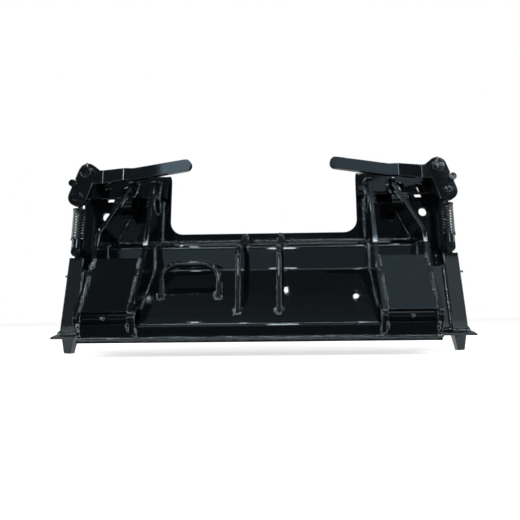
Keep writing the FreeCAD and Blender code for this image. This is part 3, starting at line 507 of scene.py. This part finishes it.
# %% [markdown]
# ## The shape of a bead
# A bead is laid as a row of small puddles, each a little over the last. Here it is a tube whose
# radius is largest where a puddle starts and falls off to its end, with a slow change from the
# welder's hand. A bump in the material could draw ripples too, but it can't break the outline
# or cast a shadow. The noise is a fixed function of the place, so every run gives the same
# bead. The ends taper.

# %% Lay a bead along a seam
PUDDLE = 6.0 * MM
BEAD_STEP = PUDDLE / 5
SHORTEST = 6.0 * MM
BEAD_SIDES = 10
LEAST_WIDTH, RIPPLE, HAND = 0.64, 0.46, 0.34
HAND_SCALE, WANDER_SCALE, WANDER = 55.0, 90.0, 0.18
TIP_WIDTH, TAPER_STEP = 0.35, 0.25
NOTHING = 1e-9
total_bead = 0.0


def evenly_spaced(points, step):
    """Points one step apart along a broken line."""
    spaced, left = [points[0]], step
    for start, end in zip(points, points[1:]):
        length = (end - start).length
        while length > NOTHING and left <= length:
            spaced.append(start.lerp(end, left / length))
            left += step
        left -= length
    return spaced


def lay_bead(mesh, seam, radius):
    """Rippled tube along a seam."""
    global total_bead
    points = evenly_spaced(seam, BEAD_STEP)
    if len(points) < SHORTEST / BEAD_STEP:
        return
    total_bead += len(points) * BEAD_STEP
    rings, side = [], None
    for i, point in enumerate(points):
        ahead_of = (points[min(i + 1, len(points) - 1)] - points[max(i - 1, 0)]).normalized()
        side = ahead_of.orthogonal() if side is None else side - ahead_of * side.dot(ahead_of)
        side.normalize()
        other = ahead_of.cross(side)
        puddle = (i * BEAD_STEP / PUDDLE) % 1.0
        hand = noise.noise(point * HAND_SCALE)
        taper = min(1.0, TIP_WIDTH + TAPER_STEP * min(i, len(points) - 1 - i))
        width = radius * taper * (LEAST_WIDTH + RIPPLE * math.sqrt(1.0 - puddle) + HAND * hand)
        wander = side * (noise.noise(point * WANDER_SCALE) * radius * WANDER)
        ring = []
        for k in range(BEAD_SIDES):
            angle = 2 * math.pi * k / BEAD_SIDES
            ring.append(point + wander + (side * math.cos(angle) + other * math.sin(angle)) * width)
        rings.append(ring)
    skin(mesh, rings)


def weld(name, meetings, radius):
    """All the beads of a group of meetings, as one piece of the frame; radius in millimetres."""
    mesh = bmesh.new()
    for plate, onto in meetings:
        for seam in seams_between(plate, onto):
            lay_bead(mesh, seam, radius * MM)
    make_piece(name, mesh, "frame", weld_paint, smooth_below=60.0)


# %% [markdown]
# ## All the welds
# The beads are grouped by what they hold, because a welder uses a bigger bead on thick plate and
# runs round a bar's foot more than once. Left and right are found in the same way, each from its
# own CAD nodes.

# %% Weld the frame
THICK_BEAD, PLATE_BEAD, BAR_FOOT_BEAD, RING_BEAD, POST_BEAD = 5.0, 4.8, 6.2, 3.2, 3.4

weld("weld_box", [("torsion_box_plate", "face_plate"), ("floor_plate", "torsion_box_plate"),
                  ("torsion_box_plate", "floor_plate")], THICK_BEAD)
weld("weld_hose_rods", [("hose_loop", "torsion_box_plate"), ("hose_guard_rods", "torsion_box_plate"),
                        ("hose_guard_rods", "face_plate")], BAR_FOOT_BEAD)
for side in SIDES:
    ears = [f"inner_ear_{side}", f"outer_ear_{side}"]
    weld(f"weld_ears_{side}", [(ear, "face_plate") for ear in ears]
         + [(ear, "floor_plate") for ear in ears] + [("torsion_box_plate", ears[0])], PLATE_BEAD)
    weld(f"weld_bushings_{side}", [(ear, f"tilt_bushings_{side}") for ear in ears]
         + [(ear, f"arm_pivot_tube_{side}") for ear in ears], RING_BEAD)
    weld(f"weld_bay_{side}", [(f"{plate}_{side}", ear) for ear in ears
                              for plate in ("guard_panel", "toe_plate", "bay_ledge")]
         + [(f"bay_ledge_{side}", "face_plate"), (f"toe_plate_{side}", "floor_plate")], PLATE_BEAD)
    housing, closing = f"wedge_housing_{side}", f"closing_plate_{side}"
    weld(f"weld_housing_{side}", [(housing, "face_plate"), (closing, "face_plate"), (closing, housing),
                                  (closing, f"outer_ear_{side}")], THICK_BEAD)
    weld(f"weld_posts_{side}", [(f"{post}_{side}", "face_plate") for post in ("pivot_boss", "stop_stud")],
         POST_BEAD)
print("bead laid in metres:", round(total_bead, 2))

# %% [markdown]
# ## The lock springs
# In the CAD model the spring is a coarse coil. The real one is round wire, wound evenly, with its
# first and last turn closed on its neighbour. A ring of points follows a helix about the rod. When
# the lever lifts, the sleeve comes up the rod, and the wound spring rides on the rod's body.
# Distances run from the crank bolt down the rod.

# %% Wind the springs
COIL_RADIUS, WIRE_RADIUS = 14.5 * MM, 2.5 * MM
COLLAR_FACE, SLEEVE_FACE = 35.0 * MM, 115.0 * MM
STEPS_PER_TURN, WIRE_SIDES = 30, 12
OPEN_TURNS, CLOSED_PITCH = 8.4, 5.7 * MM


def rod_line(side):
    """Crank bolt, and the direction from it down the rod."""
    crank = Vector(joint_places[f"rod_{side}_pivot"]["pos_m"])
    wedge_bolt = Vector(joint_places[f"sleeve_{side}_pivot"]["pos_m"])
    return crank, (wedge_bolt - crank).normalized()


def wind_spring(side, hand):
    """Round wire on a helix about the rod, riding on the rod's body."""
    crank, down = rod_line(side)
    across = Vector((0, -1, 0))
    outwards = across.cross(down).normalized()
    start, end = COLLAR_FACE + WIRE_RADIUS, SLEEVE_FACE - WIRE_RADIUS
    open_pitch = (end - start - 2 * CLOSED_PITCH) / OPEN_TURNS
    count = round((OPEN_TURNS + 2) * STEPS_PER_TURN)
    places, reached = [], start
    for i in range(count + 1):
        turns = i / STEPS_PER_TURN
        angle = 2 * math.pi * turns * hand
        reach = across * math.cos(angle) + outwards * math.sin(angle)
        places.append((crank + down * reached + reach * COIL_RADIUS, reach))
        closed = turns < 1 or turns >= OPEN_TURNS + 1
        reached += (CLOSED_PITCH if closed else open_pitch) / STEPS_PER_TURN
    rings = []
    for i, (centre, reach) in enumerate(places):
        along = (places[min(i + 1, count)][0] - places[max(i - 1, 0)][0]).normalized()
        inner = (reach - along * reach.dot(along)).normalized()
        lift = along.cross(inner)
        rings.append([centre + (inner * math.cos(2 * math.pi * k / WIRE_SIDES)
                                + lift * math.sin(2 * math.pi * k / WIRE_SIDES)) * WIRE_RADIUS
                      for k in range(WIRE_SIDES)])
    mesh = bmesh.new()
    skin(mesh, rings)
    spring = make_piece(f"wound_spring_{side}", mesh, f"rod_{side}", finishes["spring_black"])
    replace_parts(spring, f"lock_spring_{side}")
    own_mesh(spring)


for side, hand in SIDES.items():
    wind_spring(side, hand)
print("spring wire in millimetres:", 2 * WIRE_RADIUS / MM)

# %% [markdown]
# ## Bolts
# The CAD bolts are plain shanks and hexagons. A forged hexagon head has a round chamfer on top
# and a washer face below, and a bolt's end shows its thread. Each new bolt is built from the
# box of the CAD bolt that it replaces, so it stays in the same place. A hexagon whose corners
# are cut by a circle is the smaller of two radii at each angle, so no cutting tool is needed.

# %% A forged hexagon
HEX_SIDES = 6
HALF_SIDE = math.pi / HEX_SIDES
HEX_POINTS = 48
CHAMFER_SHARE, CHAMFER_LIMIT, FOOT_SHARE = 0.22, 1.6 * MM, 0.3
FOOT_CUT, TOP_CUT = 0.97, 0.90


def hex_block(mesh, place, start, end, radius):
    """Hexagon from start to end along Y, whose corners are cut round at the end."""
    depth = end - start
    fall = math.copysign(min(abs(depth) * CHAMFER_SHARE, CHAMFER_LIMIT), depth)
    rings = []
    for y, cap in ((start, FOOT_CUT), (start + fall * FOOT_SHARE, 1.0), (end - fall, 1.0), (end, TOP_CUT)):
        ring = []
        for i in range(HEX_POINTS):
            angle = 2 * math.pi * i / HEX_POINTS
            within = (angle + HALF_SIDE) % (2 * HALF_SIDE) - HALF_SIDE
            flat = radius * math.cos(HALF_SIDE) / math.cos(within)
            reach = min(flat, radius * cap)
            ring.append(Vector((place[0] + reach * math.cos(angle + HALF_SIDE), y,
                                place[1] + reach * math.sin(angle + HALF_SIDE))))
        rings.append(ring)
    skin(mesh, rings)


print("hexagon points:", HEX_POINTS)

# %% [markdown]
# The shank is turned. A thread of 1.75 mm pitch is drawn as rings that step in and out, not as a
# helix, because nobody can tell the two apart at this size. The end has a small chamfer.

# %% A shank, and where a CAD bolt stands
THREAD_PITCH, THREAD_ROOT = 1.75 * MM, 0.91
END_CHAMFER, END_START, END_TIP = 0.6 * MM, 0.97, 0.84


def shank(mesh, place, start, end, radius, thread=0.0):
    """Round bar along Y; the last stretch may carry a thread."""
    length = abs(end - start)
    way = Vector((0, math.copysign(1.0, end - start), 0))
    profile = [(0.0, radius)]
    if thread:
        turns = int(thread / THREAD_PITCH)
        begin = length - turns * THREAD_PITCH
        for i in range(turns):
            profile += [(begin + i * THREAD_PITCH, radius),
                        (begin + (i + 0.5) * THREAD_PITCH, radius * THREAD_ROOT)]
    profile += [(length - END_CHAMFER, radius * END_START), (length, radius * END_TIP)]
    turned(mesh, (place[0], start, place[1]), way, profile)


def bolt_frame(name):
    """Middle of a CAD bolt across the plate, and its front and rear in depth."""
    low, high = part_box(name)
    return ((low.x + high.x) / 2, (low.z + high.z) / 2), low.y, high.y


print("thread pitch in millimetres:", THREAD_PITCH / MM)

# %% [markdown]
# The lever turns on a bolt with a washer. The crank bolt passes through the crank and the rod
# eye and ends in a thin nut. A shoulder bolt holds the sleeve's tang on the wedge.

# %% Make the six bolts
slot_name = "fastener_black"
PIVOT_HEAD, CRANK_HEAD, WEDGE_HEAD, THIN_NUT = (depth * MM for depth in (7.0, 8.0, 7.0, 4.5))
PIVOT_HEX, CRANK_HEX, WEDGE_HEX, NUT_HEX = (radius * MM for radius in (13.9, 13.4, 10.6, 11.8))
PIVOT_SHANK, CRANK_SHANK, WEDGE_SHANK = (radius * MM for radius in (9.9, 7.9, 5.9))
WASHER = 3.0 * MM
WASHER_PROFILE = [(0.0, 15.4 * MM), (0.4 * MM, 15.9 * MM), (2.5 * MM, 15.9 * MM), (WASHER, 15.3 * MM)]
CRANK_THREAD = 5.0 * MM

for side in SIDES:
    place, front, rear = bolt_frame(f"pivot_bolt_{side}")
    mesh = bmesh.new()
    hex_block(mesh, place, front + PIVOT_HEAD, front, PIVOT_HEX)
    washer_seat = front + PIVOT_HEAD + WASHER
    turned(mesh, (place[0], washer_seat, place[1]), (0, -1, 0), WASHER_PROFILE)
    shank(mesh, place, washer_seat, rear, PIVOT_SHANK)
    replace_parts(make_piece(f"lever_bolt_{side}", mesh, "frame", finishes[slot_name]),
                f"pivot_bolt_{side}")

    place, front, rear = bolt_frame(f"crank_bolt_{side}")
    mesh = bmesh.new()
    hex_block(mesh, place, front + CRANK_HEAD, front, CRANK_HEX)
    hex_block(mesh, place, rear - THIN_NUT, rear, NUT_HEX)
    shank(mesh, place, front + CRANK_HEAD, rear, CRANK_SHANK, thread=CRANK_THREAD)
    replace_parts(make_piece(f"rod_eye_bolt_{side}", mesh, f"lever_{side}", finishes[slot_name]),
                f"crank_bolt_{side}")

    place, front, rear = bolt_frame(f"wedge_bolt_{side}")
    mesh = bmesh.new()
    hex_block(mesh, place, front + WEDGE_HEAD, front, WEDGE_HEX)
    shank(mesh, place, front + WEDGE_HEAD, rear, WEDGE_SHANK)
    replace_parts(make_piece(f"tang_bolt_{side}", mesh, f"wedge_{side}", finishes[slot_name]),
                f"wedge_bolt_{side}")
print("bolts made:", 3 * len(SIDES))

# %% [markdown]
# ## Grease nipples
# A nipple has a hexagon for the spanner, a neck and a ball that the grease gun grips. It is a
# turned profile on a short hexagon, given here in millimetres from its seat. Six of them stand
# where the CAD fittings stand, and those on the frame are of a larger size.

# %% The shape of a nipple
NIPPLE = [(0.0, 2.9), (2.2, 2.9), (2.6, 2.2), (5.4, 2.0), (6.2, 1.5), (7.0, 1.6), (8.0, 2.5), (9.2, 2.3),
          (10.0, 1.2)]
NIPPLE_HEX = [(0.0, 3.6), (0.3, 4.0), (3.2, 4.0), (3.8, 3.4)]
NIPPLE_SIDES = 20
FITTING_LENGTH, FITTING_RADIUS = 10.0 * MM, 4.0 * MM
FRAME_NIPPLE_SIZE = 1.35


def nipple(mesh, base, axis, size=1.0):
    """One nipple in the mesh, from its seat along the axis."""
    for profile, sides in ((NIPPLE_HEX, HEX_SIDES), (NIPPLE, NIPPLE_SIDES)):
        turned(mesh, base, axis, [(reach * size * MM, radius * size * MM) for reach, radius in profile],
               sides)


print("nipple length in millimetres:", NIPPLE[-1][0])

# %% [markdown]
# One nipple greases the arm's pin through its tube. The next greases the wedge through the side of
# its housing, which leans with the wedge. The third sits on the lever's bushing and turns with it.

# %% Make the nipples
WEDGE_LEAN = math.radians(3.5)
WEDGE_DEPTH = 40.0 * MM
for side, hand in SIDES.items():
    tube_low, tube_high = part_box(f"arm_pivot_tube_{side}")
    guard_low, guard_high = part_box(f"guard_panel_{side}")
    fitting_low, fitting_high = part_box(f"frame_grease_fittings_{side}")
    mesh = bmesh.new()
    tube_place = ((guard_low.x + guard_high.x) / 2, fitting_low.y + FITTING_LENGTH,
                  (tube_low.z + tube_high.z) / 2)
    nipple(mesh, tube_place, (0, -1, 0), FRAME_NIPPLE_SIZE)
    lean_axis = Vector((hand * math.cos(WEDGE_LEAN), 0, math.sin(WEDGE_LEAN)))
    tip_x = fitting_high.x if hand > 0 else fitting_low.x
    housing_tip = Vector((tip_x, -WEDGE_DEPTH, fitting_high.z - FITTING_RADIUS))
    nipple(mesh, housing_tip - lean_axis * FITTING_LENGTH, lean_axis, FRAME_NIPPLE_SIZE)
    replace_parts(make_piece(f"frame_nipples_{side}", mesh, "frame", finishes["fitting_steel"]),
                f"frame_grease_fittings_{side}")

    low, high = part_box(f"lever_grease_fitting_{side}")
    lever_base = ((low.x + high.x) / 2, (low.y + high.y) / 2, high.z - FITTING_LENGTH)
    mesh = bmesh.new()
    nipple(mesh, lever_base, (0, 0, 1))
    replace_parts(make_piece(f"lever_nipple_{side}", mesh, f"lever_{side}", finishes["fitting_steel"]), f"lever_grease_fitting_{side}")
print("nipples made:", 3 * len(SIDES))

# %% [markdown]
# ## The world
# The photo's ground is pure white, so the world and the floor add white for camera, mirror and
# glass rays, and the lamps stay at a plain level. A Light Path node tells the kinds of ray apart.
# For all other rays the world is dimmer, so that less of its even light lies on the plate.

# %% White world
WHITE = (1.0, 1.0, 1.0, 1.0)
WORLD_LIGHT = 0.35


def rays_that_see_white(tree):
    """1 for camera, glass and mirror rays and 0 for all others."""
    path = add_node(tree, "ShaderNodeLightPath")
    seen = calculate(tree, "MAXIMUM", path.outputs["Is Camera Ray"], path.outputs["Is Transmission Ray"])
    return calculate(tree, "MAXIMUM", seen, path.outputs["Is Glossy Ray"])


world = bpy.data.worlds.new("studio")
bpy.context.scene.world = world
world.use_nodes = True
world.cycles.sampling_method = "NONE"
tree = world.node_tree
background = tree.nodes["Background"]
background.inputs["Color"].default_value = WHITE
tree.links.new(remap(tree, rays_that_see_white(tree), 0.0, 1.0, WORLD_LIGHT, 1.0),
               background.inputs["Strength"])
print("world light for the other rays:", WORLD_LIGHT)

# %% [markdown]
# ## The floor
# The floor is a matt pale grey sheet just under the wedges. The glow that camera and mirror rays
# see brings it near the white of the world, and the soft shadow below the plate stays.

# %% Pale floor
FLOOR_HALF = 6.0
FLOOR_GAP = 0.2 * MM
FLOOR_GLOW = 0.62
FLOOR_GREY = (0.8, 0.8, 0.8, 1.0)


def flat_sheet(name, corners, material):
    """An object of one flat face."""
    mesh = bmesh.new()
    mesh.faces.new([mesh.verts.new(corner) for corner in corners])
    data = bpy.data.meshes.new(name)
    mesh.to_mesh(data)
    mesh.free()
    data.materials.append(material)
    sheet = bpy.data.objects.new(name, data)
    bpy.context.scene.collection.objects.link(sheet)
    return sheet


def matt_paint(name, colour, glow_colour, roughness=0.5):
    """A material without mirror reflections, and its shader."""
    paint = bpy.data.materials.new(name)
    paint.use_nodes = True
    shader = paint.node_tree.nodes["Principled BSDF"]
    shader.inputs["Base Color"].default_value = colour
    shader.inputs["Roughness"].default_value = roughness
    shader.inputs["Specular IOR Level"].default_value = 0.0
    shader.inputs["Emission Color"].default_value = glow_colour
    return paint, shader


floor_height = cad_box[0][2] - FLOOR_GAP
floor_paint, shader = matt_paint("floor_paint", FLOOR_GREY, WHITE, roughness=0.9)
tree = floor_paint.node_tree
tree.links.new(calculate(tree, "MULTIPLY", rays_that_see_white(tree), FLOOR_GLOW),
               shader.inputs["Emission Strength"])
studio_floor = flat_sheet("studio_floor", [(x * FLOOR_HALF, y * FLOOR_HALF, floor_height)
                                           for x, y in ((-1, -1), (1, -1), (1, 1), (-1, 1))], floor_paint)
print("floor height in metres:", round(floor_height, 4))

# %% [markdown]
# ## Lamps
# Gloss black shows its shape only by what it mirrors, so soft panels stand where each group of
# faces sees them. Each panel is an area lamp aimed at a point of the plate. Power is in watts
# and spreads over the panel, so a small lamp gives a glint and a large one a soft sheen.

# %% Two kinds of lamp
DAYLIGHT = (0.72, 0.88, 1.0)
PLAIN = (1.0, 1.0, 1.0)


def add_lamp(name, kind, power):
    lamp = bpy.data.lights.new(name, kind)
    lamp.energy = power
    holder = bpy.data.objects.new(name, lamp)
    bpy.context.scene.collection.objects.link(holder)
    return lamp, holder


def panel(name, place, aim, width, height, power, colour=PLAIN):
    """A rectangular area lamp that faces the point it is aimed at."""
    lamp, holder = add_lamp(name, "AREA", power)
    lamp.shape = "RECTANGLE"
    lamp.size, lamp.size_y = width, height
    lamp.color = colour
    way = Vector(aim) - Vector(place)
    holder.matrix_world = Matrix.Translation(place) @ way.to_track_quat("-Z", "Y").to_matrix().to_4x4()


def bulb(name, place, power, radius):
    """A small round lamp."""
    lamp, holder = add_lamp(name, "POINT", power)
    lamp.shadow_soft_size = radius
    holder.location = place


print("daylight colour:", DAYLIGHT)

# %% [markdown]
# The large panels light the broad faces: one for each lever's handle, one for each housing, and
# one high up for the right guard panel. Three panels behind the camera fade to the right, and
# five on the ceiling fade towards the plate. The flat faces that mirror them shade off with
# them, as in the photo, where one even panel would leave them looking like cut-outs.

# %% Soft panels
LEFT_LEVER, RIGHT_LEVER = (-0.3, -0.1, 0.2), (0.3, -0.1, 0.2)
LEFT_HOUSING, RIGHT_HOUSING = (-0.5, -0.06, -0.14), (0.5, -0.06, -0.14)
RIGHT_GUARD = (0.36, -0.15, -0.1)
panel("lamp_left_lever", (-0.62, -1.9, 1.0), LEFT_LEVER, 0.6, 0.6, 3.4, DAYLIGHT)
panel("lamp_right_lever", (0.72, -1.95, 1.05), RIGHT_LEVER, 0.7, 0.6, 1.3, DAYLIGHT)
panel("lamp_left_side", (-1.6, -1.8, -0.02), LEFT_HOUSING, 0.5, 0.5, 0.2)
panel("lamp_right_side", (1.35, -1.9, -0.02), RIGHT_HOUSING, 0.5, 0.5, 0.75)
panel("lamp_right_guard", (1.3, -1.9, 2.1), RIGHT_GUARD, 1.3, 1.2, 3.2, DAYLIGHT)

for number, (x, width, power) in enumerate(((-0.95, 1.1, 0.88), (-0.2, 0.4, 0.22), (0.65, 1.3, 0.42))):
    panel(f"lamp_behind_camera_{number}", (x, -2.5, 0.03), (x, 0.0, -0.05), width, 0.4, power, DAYLIGHT)

CEILING, FIRST_ROW, ROW_WIDTH = 2.2, -0.54, 0.1
for number, power in enumerate((0.04, 0.08, 0.13, 0.18, 0.22)):
    y = FIRST_ROW - ROW_WIDTH * number
    panel(f"ceiling_panel_{number}", (0.0, y, CEILING), (0.0, y + 0.4, 0.0), 3.0, ROW_WIDTH, power, DAYLIGHT)
print("lamps so far:", len(bpy.data.lights))

# %% [markdown]
# Narrow strips draw the thin bright lines on folds, bars and corners, because a rounded edge
# mirrors a wide arc of the room into a thin line. The small one in front is for the hose guard
# rods. For each lever another one stands where the bend of its joggle mirrors it.

# %% Strips
LEFT_JOGGLE, RIGHT_JOGGLE = (-0.42, -0.08, 0.2), (0.42, -0.08, 0.2)
panel("strip_rods", (-0.02, -2.5, 0.29), (0.0, -0.15, -0.1), 0.25, 0.28, 10.0)
panel("strip_high", (0.0, -2.3, 1.475), (0.0, 0.0, -0.1), 3.2, 0.08, 21.0)
panel("joggle_left", (-1.76, -1.36, 0.90), LEFT_JOGGLE, 0.14, 0.5, 4.0)
panel("joggle_right", (1.365, -1.695, 0.93), RIGHT_JOGGLE, 0.14, 0.5, 2.6)
panel("strip_left", (-2.6, -0.7, 0.4), (-0.3, 0.0, 0.0), 0.12, 1.4, 18.0)
panel("strip_right", (2.6, -0.7, 0.4), (0.3, 0.0, 0.0), 0.12, 1.4, 18.0)
print("lamps so far:", len(bpy.data.lights))

# %% [markdown]
# The photo shows two glints on the sloped side of the box. They look like ceiling lamps, so two
# small bulbs stand where that side mirrors them to the camera. The other bulbs are spread around
# the room and only sparkle on beads and round edges.

# %% Bulbs
GLINT_RADIUS, BULB_RADIUS, BULB_POWER = 0.015, 0.05, 16.0
BULB_PLACES = ((-1.9, -0.9, 2.2), (1.9, -0.8, 2.3), (-0.5, -2.6, 2.3), (0.9, -2.9, 2.4),
               (-2.4, -0.2, 1.4), (2.4, -0.2, 1.4), (-1.0, 1.0, 2.3), (1.0, 1.0, 2.3),
               (-2.8, -2.0, 1.8), (2.8, -2.0, 1.8), (-0.9, -1.2, 2.5), (1.1, -1.3, 2.5))
bulb("glint_middle", (0.012, -0.452, CEILING), 0.6, GLINT_RADIUS)
bulb("glint_right", (0.616, -0.512, CEILING), 0.7, GLINT_RADIUS)
for number, place in enumerate(BULB_PLACES):
    bulb(f"ceiling_lamp_{number}", place, BULB_POWER, BULB_RADIUS)
print("lamps in all:", len(bpy.data.lights))

# %% [markdown]
# ## Black cloths
# White walls turn gloss black grey, so a photographer hangs black cloths around it. Here they
# hang behind the camera, above and at both sides. A low one stands behind the plate, where its
# ears mirror the ground, and one lies on the ground in front of the box's nose. Only glossy rays
# meet them, so they throw no shadow and no view shows them. The glow stands for the little light
# that a real cloth gives back.

# %% Hang the cloths
BLACK, CLOTH_GLOW_COLOUR = (0.0, 0.0, 0.0, 1.0), (0.8, 0.92, 1.0, 1.0)
CLOTH_GLOW, GROUND_GLOW, REAR_GLOW = 0.10, 0.08, 0.03
WIDE, BACK, FRONT, HIGH, LOW = 3.5, -3.2, 1.1, 2.8, floor_height


def black_cloth(name, corners, glow):
    """A cloth that only glossy rays meet; glow is the little light that it gives back."""
    dye, shader = matt_paint(f"{name}_dye", BLACK, CLOTH_GLOW_COLOUR)
    shader.inputs["Emission Strength"].default_value = glow
    cloth = flat_sheet(name, corners, dye)
    for ray in ("camera", "diffuse", "transmission", "shadow", "volume_scatter"):
        setattr(cloth, f"visible_{ray}", False)


def hanging(y, half_width, low, high):
    return [(-half_width, y, low), (half_width, y, low), (half_width, y, high), (-half_width, y, high)]


def lying_flat(z, half_width, back, front):
    return [(-half_width, back, z), (half_width, back, z), (half_width, front, z), (-half_width, front, z)]


black_cloth("cloth_behind_camera", hanging(BACK, WIDE, LOW, HIGH), CLOTH_GLOW)
black_cloth("cloth_above", lying_flat(HIGH, WIDE, BACK, FRONT), CLOTH_GLOW)
for side, hand in SIDES.items():
    black_cloth(f"cloth_{side}", [(hand * WIDE, y, z) for y, z in
                                  ((BACK, LOW), (FRONT, LOW), (FRONT, HIGH), (BACK, HIGH))], CLOTH_GLOW)
black_cloth("cloth_on_ground", lying_flat(floor_height + 1.0 * MM, 0.8, -0.8, -0.2), GROUND_GLOW)
black_cloth("cloth_behind_plate", hanging(FRONT, 1.7, LOW, 1.4), REAR_GLOW)
print("cloths hung:", 4 + len(SIDES))

# %% [markdown]
# ## Finish
# The scene keeps Blender's plain view transform, so colours stay as written.

# %% View transform
bpy.context.scene.view_settings.view_transform = "Standard"
